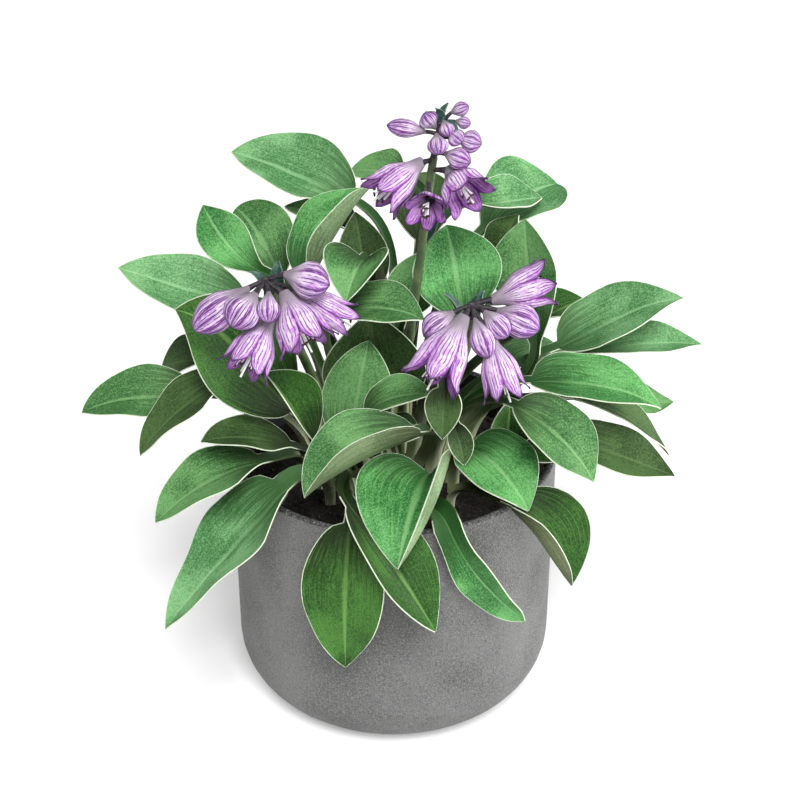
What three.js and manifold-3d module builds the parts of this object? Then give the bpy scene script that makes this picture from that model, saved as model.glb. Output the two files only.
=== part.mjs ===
// Small hosta in a round pot, in millimetres, +Z up.
// The origin is the centre of the pot's underside; the front of the plant faces -Y.

import * as THREE from 'three';
import { mergeVertices } from 'three/addons/utils/BufferGeometryUtils.js';
import Module from 'manifold-3d';

const wasm = await Module();
wasm.setup();

// ---------------------------------------------------------------- driving dimensions

const POT_RADIUS = 82.5;
const POT_FOOT_RADIUS = 82.1;
const POT_HEIGHT = 140;
const POT_EDGE_ROUND = 30;
const POT_WALL = 3.4;
const POT_FLOOR = 8;
const POT_SIDES = 44;

const SOIL_RIM = 117;
const SOIL_CROWN = 126;
const SOIL_GAP = 0.3;
const SOIL_SIDES = 32;
const HOLE_RADIUS = 4.5;
const HOLE_DEPTH = 10;
const HOLE_SIDES = 6;
const FOOT_SPACING = 6.2;
const GOLDEN_TURN = 137.5;

const STALK_HALF = 3.4;
const STALK_THICK = 1.4;
const BLADE_THICK = 0.9;
const EDGE_THICK = 0.65;
const SCAPE_RADIUS = 2.2;
const HUB_GAP = 0.3;

// ---------------------------------------------------------------- leaves
// foot: the stalk's place, counted outwards along the crown's spiral.
// neck: where the blade starts; tip: where it ends; width: widest span of the blade laid flat.
// rise and droop: how far the blade's start is turned up from the line neck-tip and its end
// down from it. roll and twist turn the blade about its length (left edge up is positive),
// twist growing to the tip. fold is the V at the midrib and cup adds to it out to each edge
// (a pair is right side, left side). wave is the height of the edge's ripple and widest the
// place of the widest span from neck to tip. heading replaces the blade's own direction.

const LEAVES = [
  // front, over the rim
  { name: 'leaf_front_left_long', foot: 54, neck: [-51, -62, 151], tip: [-107, -104, 101],
    width: 50, rise: 2, droop: 6, roll: 10, fold: 8, cup: 18, wave: 1.2, widest: 0.32, wing: 9 },
  { name: 'leaf_front_hanging', foot: 49, neck: [-20, -80, 144], tip: [-23, -96, 71],
    width: 41, rise: 30, droop: 14, roll: 0, fold: 8, cup: 20, wave: 1, widest: 0.4 },
  { name: 'leaf_front_crossing', foot: 28, neck: [-20, -81, 155], tip: [20, -110, 104],
    width: 38, rise: 16, droop: 16, roll: 0, fold: [20, 6], cup: [50, 12], wave: 1, widest: 0.44,
    heading: -70, wing: 4 },
  { name: 'leaf_front_spoon', foot: 44, neck: [17, -54, 155], tip: [2, -111, 141],
    width: 58, rise: 40, droop: 26, roll: -6, fold: [4, 10], cup: [20, 118], wave: 0, widest: 0.42 },
  { name: 'leaf_front_strap', foot: 57, neck: [26, -80, 142], tip: [64, -76, 83],
    width: 22, rise: 44, droop: 14, roll: -6, fold: 14, cup: 16, wave: 0.8, widest: 0.55,
    heading: -105, wing: 8 },
  { name: 'leaf_right_front_low', foot: 52, neck: [57, -63, 143], tip: [86, -78, 107],
    width: 45, rise: 38, droop: 16, roll: 24, fold: [14, 8], cup: [110, 18], wave: 0, widest: 0.45 },
  { name: 'leaf_right_front', foot: 39, neck: [37, -32, 156], tip: [64, -72, 146],
    width: 40, rise: 26, droop: 26, roll: 8, fold: 8, cup: 18, wave: 0.8, widest: 0.42 },
  // right side
  { name: 'leaf_right_down', foot: 18, neck: [58, -43, 186], tip: [95, -64, 157],
    width: 36, rise: 22, droop: 24, roll: 12, fold: 8, cup: 16, wave: 0.8, widest: 0.45 },
  { name: 'leaf_right_wide', foot: 13, neck: [67, -20, 186], tip: [129, -33, 179],
    width: 38, rise: 14, droop: 26, roll: 8, fold: 8, cup: 16, wave: 0.8, widest: 0.38 },
  { name: 'leaf_right_low_long', foot: 34, neck: [83, -24, 157], tip: [138, -36, 142],
    width: 33, rise: 4, droop: 2, roll: 14, fold: 10, cup: 14, wave: 0.6, widest: 0.45 },
  { name: 'leaf_right_shade', foot: 55, neck: [89, -2, 166], tip: [141, 0, 131],
    width: 30, rise: 26, droop: 18, roll: 0, fold: 8, cup: 14, wave: 0.6, widest: 0.42 },
  { name: 'leaf_right_peek', foot: 50, neck: [102, 24, 150], tip: [147, 36, 141],
    width: 34, rise: 0, droop: -6, roll: 6, fold: 8, cup: 14, wave: 0.6, widest: 0.45 },
  { name: 'leaf_right_upper', foot: 29, neck: [83, 13, 187], tip: [143, 14, 214],
    width: 40, rise: 2, droop: 20, roll: 16, fold: 8, cup: 20, wave: 0.8, widest: 0.4 },
  { name: 'leaf_right_upper_under', foot: 42, neck: [99, 18, 181], tip: [157, 26, 181],
    width: 30, rise: 10, droop: 12, roll: 4, fold: 10, cup: 14, wave: 0.6, widest: 0.5 },
  { name: 'leaf_right_tall', foot: 21, neck: [71, 8, 191], tip: [64, 24, 252],
    width: 38, rise: -8, droop: 16, roll: 0, fold: 10, cup: 18, wave: 0.8, widest: 0.6,
    heading: 60 },
  { name: 'leaf_right_facing', foot: 3, neck: [35, 4, 206], tip: [26, 26, 248],
    width: 46, rise: -6, droop: 14, roll: 0, fold: 6, cup: 16, wave: 0.8, widest: 0.54,
    heading: 100 },
  { name: 'leaf_right_back_small', foot: 16, neck: [77, 38, 190], tip: [100, 50, 193],
    width: 32, rise: 10, droop: 20, roll: 0, fold: 8, cup: 14, wave: 0, widest: 0.45 },
  // top right and back right
  { name: 'leaf_top_right_round', foot: 24, neck: [46, 52, 233], tip: [85, 84, 244],
    width: 48, rise: 16, droop: 24, roll: 16, fold: 8, cup: 26, wave: 0.8, widest: 0.58 },
  { name: 'leaf_top_right_fold', foot: 11, neck: [42, 44, 251], tip: [75, 60, 247],
    width: 30, rise: -6, droop: 4, roll: 20, fold: 12, cup: [40, 20], wave: 0.6, widest: 0.45 },
  { name: 'leaf_back_right_dark', foot: 8, neck: [50, 33, 224], tip: [62, 42, 246],
    width: 24, rise: 0, droop: 16, roll: 0, fold: 8, cup: 16, wave: 0.6, widest: 0.45 },
  // top and top left
  { name: 'leaf_top_left', foot: 40, neck: [-21, 60, 245], tip: [-83, 84, 262],
    width: 48, rise: 4, droop: 8, roll: -18, fold: 8, cup: [34, 34], wave: 0.8, widest: 0.44 },
  { name: 'leaf_top_left_under', foot: 27, neck: [-22, 50, 234], tip: [-56, 72, 237],
    width: 34, rise: 6, droop: 10, roll: 4, fold: 8, cup: 16, wave: 0, widest: 0.45 },
  { name: 'leaf_top_small', foot: 19, neck: [4, 72, 253], tip: [-23, 94, 247],
    width: 32, rise: 8, droop: 12, roll: -10, fold: 8, cup: 20, wave: 0.6, widest: 0.5 },
  { name: 'leaf_top_behind', foot: 32, neck: [14, 58, 224], tip: [17, 88, 249],
    width: 34, rise: 14, droop: 24, roll: 0, fold: 8, cup: 18, wave: 0.6, widest: 0.5 },
  { name: 'leaf_left_tall', foot: 22, neck: [-41, 16, 221], tip: [-12, 37, 263],
    width: 47, rise: 20, droop: 18, roll: 0, fold: [16, 8], cup: [92, 20], wave: 0.8, widest: 0.45 },
  // left side
  { name: 'leaf_left_up_front', foot: 9, neck: [-64, 16, 227], tip: [-94, 40, 252],
    width: 26, rise: -30, droop: -28, roll: -30, fold: 8, cup: 20, wave: 0.6, widest: 0.6 },
  { name: 'leaf_left_up_back', foot: 14, neck: [-56, 32, 217], tip: [-80, 61, 241],
    width: 38, rise: 6, droop: 26, roll: -30, fold: 8, cup: 24, wave: 0.6, widest: 0.5 },
  { name: 'leaf_left_reach', foot: 30, neck: [-71, -12, 226], tip: [-131, -4, 240],
    width: 36, rise: -8, droop: -4, roll: -24, fold: 8, cup: 18, wave: 0.8, widest: 0.45 },
  { name: 'leaf_left_shadow', foot: 46, neck: [-49, -26, 175], tip: [-101, -34, 233],
    width: 50, rise: -4, droop: 30, roll: -60, fold: 6, cup: 14, wave: 0.8, widest: 0.5 },
  { name: 'leaf_left_small', foot: 43, neck: [-97, 14, 178], tip: [-119, 24, 167],
    width: 30, rise: 20, droop: 20, roll: -24, fold: 8, cup: 20, wave: 0, widest: 0.45 },
  { name: 'leaf_far_left', foot: 51, neck: [-98, -8, 171], tip: [-154, -14, 165],
    width: 36, rise: 8, droop: 22, roll: -16, fold: 8, cup: 18, wave: 0.8, widest: 0.42 },
  { name: 'leaf_left_second', foot: 38, neck: [-77, -30, 194], tip: [-122, -44, 159],
    width: 33, rise: 18, droop: 22, roll: -4, fold: 8, cup: 16, wave: 0.8, widest: 0.42 },
  { name: 'leaf_left_front_flat', foot: 33, neck: [-50, -36, 159], tip: [-91, -52, 172],
    width: 28, rise: 14, droop: 22, roll: -8, fold: 8, cup: 18, wave: 0.6, widest: 0.45 },
  { name: 'leaf_left_front_low', foot: 59, neck: [-64, -46, 156], tip: [-113, -70, 138],
    width: 38, rise: 24, droop: 20, roll: 0, fold: 8, cup: 18, wave: 0.8, widest: 0.44, wing: 5 },
  // middle
  { name: 'leaf_front_arch', foot: 23, neck: [11, -54, 177], tip: [-41, -84, 162],
    width: 48, rise: 16, droop: 26, roll: -8, fold: [8, 14], cup: [20, 104], wave: 0.8, widest: 0.45,
    wing: 5 },
  { name: 'leaf_middle_back', foot: 15, neck: [-13, -32, 175], tip: [19, -38, 190],
    width: 27, rise: 30, droop: 26, roll: 10, fold: 8, cup: 18, wave: 0, widest: 0.45 },
  { name: 'leaf_middle_cup', foot: 20, neck: [-23, -19, 145], tip: [-12, -4, 200],
    width: 36, rise: 0, droop: 42, roll: 0, fold: 8, cup: 12, wave: 0, widest: 0.5,
    heading: 90 },
  { name: 'leaf_left_upright', foot: 41, neck: [-39, -42, 168], tip: [-60, -42, 204],
    width: 34, rise: 0, droop: 10, roll: 0, fold: [26, 34], cup: 20, wave: 0, widest: 0.5,
    heading: 150 },
  { name: 'leaf_middle_heart', foot: 6, neck: [-14, 6, 239], tip: [-22, -24, 232],
    width: 38, rise: 20, droop: 30, roll: 0, fold: 24, cup: 26, wave: 0, widest: 0.38 },
  { name: 'leaf_middle_side', foot: 4, neck: [-23, -8, 218], tip: [15, -18, 219],
    width: 32, rise: 26, droop: 26, roll: 14, fold: 8, cup: 18, wave: 0.6, widest: 0.42 },
  { name: 'leaf_middle_slim', foot: 1, neck: [4, 18, 201], tip: [14, 26, 233],
    width: 28, rise: -4, droop: 16, roll: 0, fold: 12, cup: 26, wave: 0, widest: 0.5,
    heading: 90 },
  { name: 'leaf_middle_drop', foot: 10, neck: [24, -50, 200], tip: [23, -60, 178],
    width: 18, rise: 10, droop: 10, roll: 0, fold: 10, cup: 16, wave: 0, widest: 0.34 },
  { name: 'leaf_middle_dark', foot: 2, neck: [-8, -1, 162], tip: [-11, 1, 213],
    width: 54, rise: 0, droop: 16, roll: 0, fold: 10, cup: 18, wave: 0, widest: 0.45, heading: 90 },
  { name: 'leaf_middle_shade', foot: 48, neck: [-13, 27, 210], tip: [-19, 43, 247],
    width: 27, rise: 0, droop: 14, roll: 0, fold: 8, cup: 16, wave: 0, widest: 0.42, heading: 100 },
  { name: 'leaf_middle_thin', foot: 31, neck: [29, -45, 176], tip: [34, -56, 161],
    width: 13, rise: 20, droop: 16, roll: 6, fold: 10, cup: 18, wave: 0, widest: 0.45 },
  { name: 'leaf_middle_low', foot: 36, neck: [-4, -33, 163], tip: [13, -36, 165],
    width: 24, rise: 30, droop: 26, roll: 10, fold: 8, cup: 18, wave: 0, widest: 0.45 },
  { name: 'leaf_right_cup', foot: 26, neck: [56, -22, 150], tip: [57, -18, 174],
    width: 24, rise: 0, droop: 16, roll: 0, fold: 10, cup: 40, wave: 0, widest: 0.45, heading: 100 },
  { name: 'leaf_right_under', foot: 47, neck: [62, -16, 151], tip: [84, -28, 146],
    width: 26, rise: 16, droop: 16, roll: 24, fold: 10, cup: 18, wave: 0, widest: 0.45 },
  // back
  { name: 'leaf_back_right_low', foot: 37, neck: [58, 42, 158], tip: [104, 80, 138],
    width: 34, rise: 28, droop: 24, roll: 0, fold: 8, cup: 16, wave: 0.8, widest: 0.42 },
  { name: 'leaf_back_right_mid', foot: 45, neck: [34, 60, 176], tip: [56, 114, 160],
    width: 34, rise: 26, droop: 26, roll: 0, fold: 8, cup: 16, wave: 0.8, widest: 0.42 },
  { name: 'leaf_back_low', foot: 53, neck: [-2, 66, 158], tip: [-4, 122, 137],
    width: 36, rise: 30, droop: 24, roll: 0, fold: 8, cup: 18, wave: 0.8, widest: 0.42 },
  { name: 'leaf_back_left_low', foot: 35, neck: [-58, 44, 156], tip: [-102, 82, 134],
    width: 34, rise: 28, droop: 24, roll: 0, fold: 8, cup: 16, wave: 0.8, widest: 0.42 },
];

// ---------------------------------------------------------------- flower stems
// top: where the stem's flower head starts; lean: the stem's direction there.
// Each bract is a small pointed leaf on the stem, from its root to its tip.

const STEMS = [
  { name: 'stem_left', foot: 25, top: [-55, -50, 251], lean: [-0.2, -0.6, 1],
    bracts: [
      { root: [-54, -48, 243], tip: [-65, -43, 258], width: 8, rise: 10, droop: 40 },
      { root: [-53, -48, 243], tip: [-52, -39, 261], width: 8, rise: -20, droop: 40 },
    ] },
  { name: 'stem_right', foot: 5, top: [36, -40, 232], lean: [0, -0.1, 1],
    bracts: [
      { root: [36, -39, 226], tip: [24, -38, 244], width: 8, rise: -20, droop: 20 },
      { root: [36, -39, 226], tip: [42, -33, 243], width: 8, rise: -20, droop: 30 },
    ] },
  { name: 'stem_top', foot: 0, top: [16, 2, 270], lean: [0.1, 0.1, 1],
    bracts: [
      { root: [15, 2, 250], tip: [22, 8, 264], width: 7, rise: -20, droop: -10 },
    ] },
];

// ---------------------------------------------------------------- flower heads
// joint: where the stalklet leaves the head's core; base: where the bloom starts; tip: the
// middle of its mouth or the bud's point; width: across the petals' tips or the bud's sides.

const HEADS = [
  { name: 'flowers_left', stem: 0, core: [-57, -53, 258], blooms: [
    { kind: 'bud', base: [-63, -56, 257], tip: [-90, -60, 236], width: 17 },
    { kind: 'bud', base: [-60, -61, 257], tip: [-72, -70, 243], width: 17 },
    { kind: 'bud', base: [-55, -62, 258], tip: [-55, -72, 246], width: 11 },
    { kind: 'open', base: [-55, -57, 241], tip: [-68, -74, 222], width: 25 },
    { kind: 'bud', base: [-50, -54, 262], tip: [-28, -54, 256], width: 17 },
    { kind: 'open', base: [-49, -56, 254], tip: [-37, -71, 233], width: 28 },
    { kind: 'open', base: [-46, -49, 252], tip: [-20, -45, 232], width: 19 },
  ] },
  { name: 'flowers_right', stem: 1, core: [36, -41, 239], blooms: [
    { kind: 'bud', base: [29, -44, 238], tip: [14, -49, 227], width: 14 },
    { kind: 'open', base: [33, -47, 237], tip: [16, -66, 211], width: 30 },
    { kind: 'bud', base: [37, -50, 238], tip: [44, -59, 221], width: 12 },
    { kind: 'bud', base: [41, -45, 239], tip: [53, -50, 227], width: 13 },
    { kind: 'bud', base: [46, -39, 236], tip: [68, -43, 227], width: 17 },
    { kind: 'open', base: [45, -37, 239], tip: [72, -28, 245], width: 24 },
    { kind: 'open', base: [44, -50, 229], tip: [53, -63, 202], width: 22 },
  ] },
  { name: 'flowers_top', stem: 2, core: [22, 5, 309], blooms: [
    { kind: 'bud', joint: [21, 5, 304], base: [17, 5, 305], tip: [-3, 4, 309], width: 9 },
    { kind: 'bud', joint: [21, 5, 307], base: [20, 4, 307], tip: [14, 6, 314], width: 10 },
    { kind: 'bud', joint: [22, 5, 309], base: [23, 1, 313], tip: [26, -3, 306], width: 8 },
    { kind: 'bud', joint: [21, 5, 305], base: [25, 0, 308], tip: [32, -3, 303], width: 9 },
    { kind: 'bud', joint: [21, 4, 303], base: [29, 1, 304], tip: [41, -2, 302], width: 11 },
    { kind: 'bud', joint: [20, 4, 301], base: [20, -2, 308], tip: [21, -8, 299], width: 10 },
    { kind: 'bud', joint: [19, 4, 295], base: [23, 0, 297], tip: [36, -5, 294], width: 11 },
    { kind: 'bud', joint: [23, 5, 310], base: [26, 6, 314], tip: [35, 5, 318], width: 7 },
    { kind: 'bud', joint: [23, 5, 310], base: [28, 4, 311], tip: [36, 3, 310], width: 6 },
    { kind: 'open', joint: [18, 3, 292], base: [14, 5, 291], tip: [-8, -8, 277], width: 25 },
    { kind: 'open', joint: [17, 2, 281], base: [17, -4, 276], tip: [15, -17, 274], width: 21 },
    { kind: 'open', joint: [18, 3, 287], base: [26, 3, 288], tip: [36, -13, 279], width: 27 },
  ] },
];

// ---------------------------------------------------------------- solids from meshes

function toSolid(geometry) {
  const bare = geometry.clone();
  bare.deleteAttribute('normal');
  bare.deleteAttribute('uv');
  const merged = mergeVertices(bare, 1e-4);
  return new wasm.Manifold(new wasm.Mesh({
    numProp: 3,
    vertProperties: new Float32Array(merged.attributes.position.array),
    triVerts: new Uint32Array(merged.index.array),
  }));
}

function toGeometry(solid) {
  const mesh = solid.getMesh();
  const step = mesh.numProp;
  const count = mesh.vertProperties.length / step;
  const points = new Float32Array(count * 3);
  for (let i = 0; i < count; i++) {
    for (let k = 0; k < 3; k++) points[3 * i + k] = mesh.vertProperties[step * i + k];
  }
  const geometry = new THREE.BufferGeometry();
  geometry.setAttribute('position', new THREE.BufferAttribute(points, 3));
  geometry.setIndex(new THREE.BufferAttribute(new Uint32Array(mesh.triVerts), 1));
  return geometry;
}

function joinAll(geometries) {
  let solid = toSolid(geometries[0]);
  for (const geometry of geometries.slice(1)) solid = solid.add(toSolid(geometry));
  return toGeometry(solid);
}

// A closed skin over equal rings. Each ring runs clockwise seen from the last ring's end:
// half its points over the top, the other half back underneath, so both faces of a blade
// are split into the same triangles.
function skin(rings) {
  const n = rings[0].length;
  const half = n / 2;
  const points = [];
  for (const ring of rings) {
    for (const p of ring) points.push(p.x, p.y, p.z);
  }
  const faces = [];
  for (let r = 0; r < rings.length - 1; r++) {
    for (let i = 0; i < n; i++) {
      const j = (i + 1) % n;
      const a = r * n + i;
      const b = r * n + j;
      const c = a + n;
      const d = b + n;
      if (i >= half && i < n - 1) faces.push(a, c, b, b, c, d);
      else faces.push(a, d, b, a, c, d);
    }
  }
  const last = (rings.length - 1) * n;
  for (let i = 1; i < half; i++) {
    const under = n - 1 - i;
    faces.push(i - 1, i, under, i - 1, under, under + 1);
    faces.push(last + i - 1, last + under, last + i);
    faces.push(last + i - 1, last + under + 1, last + under);
  }
  const geometry = new THREE.BufferGeometry();
  geometry.setAttribute('position', new THREE.BufferAttribute(new Float32Array(points), 3));
  geometry.setIndex(faces);
  return geometry;
}

// ---------------------------------------------------------------- places on the soil

const radians = THREE.MathUtils.degToRad;

function vector(list) {
  return new THREE.Vector3(list[0], list[1], list[2]);
}

function soilHeight(radius) {
  const inner = POT_RADIUS - POT_WALL;
  return SOIL_CROWN - (SOIL_CROWN - SOIL_RIM) * (radius / inner) ** 2;
}

function footPoint(number) {
  const radius = FOOT_SPACING * Math.sqrt(number + 0.3);
  const turn = radians(GOLDEN_TURN * number);
  const x = radius * Math.cos(turn);
  const y = radius * Math.sin(turn);
  return new THREE.Vector3(x, y, soilHeight(radius));
}

// ---------------------------------------------------------------- a leaf

const STALK_STEPS = [0, 0.3, 0.65, 1];
const SHORT_STEPS = [0, 0.5, 1];
const SHORT_STALK = 58;
const BLADE_STEPS = [0.14, 0.34, 0.56, 0.78, 1];
const SMALL_STEPS = [0.2, 0.5, 0.78, 1];
const SMALL_WIDTH = 33;
const ACROSS = [-1, -0.55, 0, 0.55, 1];

function bladeEnds(leaf) {
  const neck = vector(leaf.neck);
  const tip = vector(leaf.tip);
  const chord = tip.clone().sub(neck);
  const own = Math.atan2(chord.y, chord.x);
  const heading = leaf.heading === undefined ? own : radians(leaf.heading);
  const side = new THREE.Vector3(-Math.sin(heading), Math.cos(heading), 0);
  const start = chord.clone().normalize().applyAxisAngle(side, -radians(leaf.rise));
  const end = chord.clone().normalize().applyAxisAngle(side, radians(leaf.droop));
  return { neck, tip, side, start, end, reach: chord.length() };
}

function leafCurves(leaf) {
  const ends = bladeEnds(leaf);
  const surface = footPoint(leaf.foot);
  surface.z += 1;
  const gap = ends.neck.distanceTo(surface);
  const stalk = new THREE.CubicBezierCurve3(
    surface,
    surface.clone().add(new THREE.Vector3(0, 0, 0.4 * gap)),
    ends.neck.clone().addScaledVector(ends.start, -0.32 * gap),
    ends.neck,
  );
  const blade = new THREE.CubicBezierCurve3(
    ends.neck,
    ends.neck.clone().addScaledVector(ends.start, 0.34 * ends.reach),
    ends.tip.clone().addScaledVector(ends.end, -0.34 * ends.reach),
    ends.tip,
  );
  return { stalk, blade, side: ends.side };
}

// Points of one cross-section: over the top from right to left, then back underneath.
function leafRing(centre, along, side, shape) {
  const s = side.clone().addScaledVector(along, -side.dot(along)).normalize();
  const up = new THREE.Vector3().crossVectors(along, s);
  s.applyAxisAngle(along, shape.roll);
  up.applyAxisAngle(along, shape.roll);
  const top = [];
  const under = [];
  for (const q of ACROSS) {
    const edge = Math.abs(q);
    const hand = q < 0 ? 0 : 1;
    const fold = shape.fold[hand];
    const cup = shape.cup[hand];
    const bend = fold + cup * edge;
    const curved = Math.abs(cup) > 1e-3;
    const out = curved ? (Math.sin(bend) - Math.sin(fold)) / cup : Math.cos(fold) * edge;
    const lift = curved ? (Math.cos(fold) - Math.cos(bend)) / cup : Math.sin(fold) * edge;
    const sign = Math.sign(q);
    const ripple = shape.wave * sign * edge * edge;
    const point = centre.clone()
      .addScaledVector(s, sign * out * shape.half)
      .addScaledVector(up, lift * shape.half + ripple);
    const lean = q === 0 ? 0 : bend;
    const thick = shape.thick + (shape.edge - shape.thick) * edge;
    top.push(point);
    under.unshift(point.clone()
      .addScaledVector(s, sign * Math.sin(lean) * thick)
      .addScaledVector(up, -Math.cos(lean) * thick));
  }
  return top.concat(under);
}

function pair(value) {
  const list = Array.isArray(value) ? value : [value, value];
  return list.map(radians);
}

function bladeHalf(leaf, t) {
  const power = Math.log(0.5) / Math.log(leaf.widest);
  const swell = Math.sin(Math.PI * t ** power);
  const sharp = 0.58 + 0.3 * t;
  const blade = 0.5 * leaf.width * Math.max(swell, 0) ** sharp;
  return Math.max(Math.hypot(blade, (leaf.wing ?? STALK_HALF) * (1 - t) ** 2), 0.5);
}

const STALK_FOLD = 20;
const STALK_CUP = 50;

function leafGeometry(leaf) {
  const { stalk, blade, side } = leafCurves(leaf);
  const flatFold = pair(leaf.fold);
  const flatCup = pair(leaf.cup);
  const stalkFold = radians(STALK_FOLD);
  const stalkCup = radians(STALK_CUP);
  const rings = [];
  const stalkShape = (share) => {
    const k = share ** 3 * 0.5;
    return {
      half: STALK_HALF + ((leaf.wing ?? STALK_HALF) - STALK_HALF) * share,
      roll: radians(leaf.roll) * share,
      fold: flatFold.map((v) => stalkFold + (v - stalkFold) * k),
      cup: flatCup.map((v) => stalkCup + (v - stalkCup) * k),
      thick: STALK_THICK,
      edge: EDGE_THICK,
      wave: 0,
    };
  };
  const foot = stalk.getPoint(0);
  foot.z += HUB_GAP - 1 - HOLE_DEPTH;
  rings.push(leafRing(foot, new THREE.Vector3(0, 0, 1), side, stalkShape(0)));
  const short = stalk.v0.distanceTo(stalk.v3) < SHORT_STALK;
  for (const s of short ? SHORT_STEPS : STALK_STEPS) {
    rings.push(leafRing(stalk.getPoint(s), stalk.getTangent(s), side, stalkShape(s)));
  }
  for (const t of leaf.width < SMALL_WIDTH ? SMALL_STEPS : BLADE_STEPS) {
    const k = 0.5 + 0.5 * Math.min(t / 0.3, 1);
    rings.push(leafRing(blade.getPoint(t), blade.getTangent(t), side, {
      half: bladeHalf(leaf, t),
      roll: radians(leaf.roll + (leaf.twist ?? 0) * t),
      fold: flatFold.map((v) => stalkFold + (v - stalkFold) * k),
      cup: flatCup.map((v) => stalkCup + (v - stalkCup) * k),
      thick: STALK_THICK + (BLADE_THICK - STALK_THICK) * t,
      edge: EDGE_THICK,
      wave: leaf.wave * Math.sin(4 * Math.PI * t),
    }));
  }
  return skin(rings);
}

// ---------------------------------------------------------------- flower stems

const BRACT_STEPS = [0, 0.35, 0.7, 1];
const STEM_SIDES = 7;
const STEM_STEPS = 8;

function roundShape(radius, sides) {
  const points = [];
  for (let i = 0; i < sides; i++) {
    const turn = (2 * Math.PI * i) / sides;
    points.push(new THREE.Vector2(radius * Math.cos(turn), radius * Math.sin(turn)));
  }
  return new THREE.Shape(points);
}

function tube(curve, radius, sides, steps) {
  return new THREE.ExtrudeGeometry(roundShape(radius, sides), {
    steps, bevelEnabled: false, extrudePath: curve });
}

function stemCurve(stem) {
  const surface = footPoint(stem.foot);
  surface.z += 1;
  const top = vector(stem.top);
  const lean = vector(stem.lean).normalize();
  const third = surface.distanceTo(top) / 3;
  return new THREE.CubicBezierCurve3(
    surface,
    surface.clone().add(new THREE.Vector3(0, 0, third)),
    top.clone().addScaledVector(lean, -third),
    top,
  );
}

function bractGeometry(bract) {
  const ends = bladeEnds({ ...bract, neck: bract.root });
  const curve = new THREE.CubicBezierCurve3(
    ends.neck,
    ends.neck.clone().addScaledVector(ends.start, 0.34 * ends.reach),
    ends.tip.clone().addScaledVector(ends.end, -0.34 * ends.reach),
    ends.tip,
  );
  return skin(BRACT_STEPS.map((t) => leafRing(curve.getPoint(t), curve.getTangent(t), ends.side, {
    half: Math.max(0.5 * bract.width * Math.sin(Math.PI * (0.15 + 0.85 * t)), 0.45),
    roll: 0,
    fold: pair(10),
    cup: pair(30),
    thick: 0.9,
    edge: EDGE_THICK,
    wave: 0,
  })));
}

function stemGeometry(stem) {
  const curve = stemCurve(stem);
  const path = new THREE.CurvePath();
  const foot = curve.v0.clone();
  foot.z += HUB_GAP - 1 - HOLE_DEPTH;
  path.add(new THREE.LineCurve3(foot, curve.v0));
  path.add(curve);
  const stalk = tube(path, SCAPE_RADIUS, STEM_SIDES, STEM_STEPS);
  return joinAll([stalk, ...stem.bracts.map(bractGeometry)]);
}

// ---------------------------------------------------------------- flowers

const PETALS = 6;
const BELL_WALL = 0.7;
const STALKLET_RADIUS = 0.9;
const CORE_RADIUS = 2;

// A frame with its third axis along the bloom.
function bloomPlace(base, tip) {
  const axis = tip.clone().sub(base).normalize();
  const turn = new THREE.Quaternion().setFromUnitVectors(new THREE.Vector3(0, 0, 1), axis);
  return new THREE.Matrix4().compose(base, turn, new THREE.Vector3(1, 1, 1));
}

// Rings of points about the axis, each ring a list of [radius, height] pairs, closed at
// both ends by a point on the axis.
function spun(rings, low, high) {
  const n = rings[0].length;
  const points = [0, 0, low];
  for (const ring of rings) {
    ring.forEach(([r, z], i) => {
      const turn = (2 * Math.PI * i) / n;
      points.push(r * Math.cos(turn), r * Math.sin(turn), z);
    });
  }
  points.push(0, 0, high);
  const faces = [];
  const last = (rings.length - 1) * n + 1;
  for (let i = 0; i < n; i++) {
    const j = (i + 1) % n;
    faces.push(0, 1 + j, 1 + i);
    for (let r = 0; r < rings.length - 1; r++) {
      const a = 1 + r * n + i;
      const b = 1 + r * n + j;
      faces.push(a, b, b + n, a, b + n, a + n);
    }
    faces.push(last + i, last + j, last + n);
  }
  const geometry = new THREE.BufferGeometry();
  geometry.setAttribute('position', new THREE.BufferAttribute(new Float32Array(points), 3));
  geometry.setIndex(faces);
  return geometry;
}

function budGeometry(width, length) {
  const outline = [[0.16, 0], [0.5, 0.22], [0.96, 0.5], [0.92, 0.74], [0.5, 0.92]];
  const rings = outline.map(([r, z]) => {
    const ring = [];
    for (let i = 0; i < PETALS; i++) ring.push([0.5 * width * r, length * z]);
    return ring;
  });
  return spun(rings, 0, length);
}

// An open bell: narrow tube, swelling throat and six pointed petals.
function bellGeometry(width, length) {
  const outside = [[0.1, 0.1, 0], [0.16, 0.16, 0.2], [0.3, 0.3, 0.42], [0.4, 0.36, 0.66]];
  const rings = outside.map(([petal, notch, z]) => bellRing(width, petal, notch, length * z, 0));
  const rim = [];
  for (let i = 0; i < 2 * PETALS; i++) {
    rim.push(i % 2 === 0 ? [0.5 * width, length] : [0.4 * width, 0.78 * length]);
  }
  rings.push(rim);
  rings.push(rim.map(([r, z]) => [r - BELL_WALL, z + 0.2 * BELL_WALL]));
  for (const [petal, notch, z] of outside.slice(2).reverse()) {
    rings.push(bellRing(width, petal, notch, length * z + 0.2, BELL_WALL));
  }
  return spun(rings, 0, length * 0.3);
}

function bellRing(width, petal, notch, height, inset) {
  const ring = [];
  for (let i = 0; i < PETALS; i++) {
    ring.push([petal * width - inset, height], [notch * width - inset, height]);
  }
  return ring;
}

function stalkletGeometry(from, to) {
  const stalk = new THREE.CylinderGeometry(
    STALKLET_RADIUS, STALKLET_RADIUS, from.distanceTo(to), 5);
  stalk.rotateX(Math.PI / 2);
  stalk.translate(0, 0, from.distanceTo(to) / 2);
  return stalk.applyMatrix4(bloomPlace(from, to));
}

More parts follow.
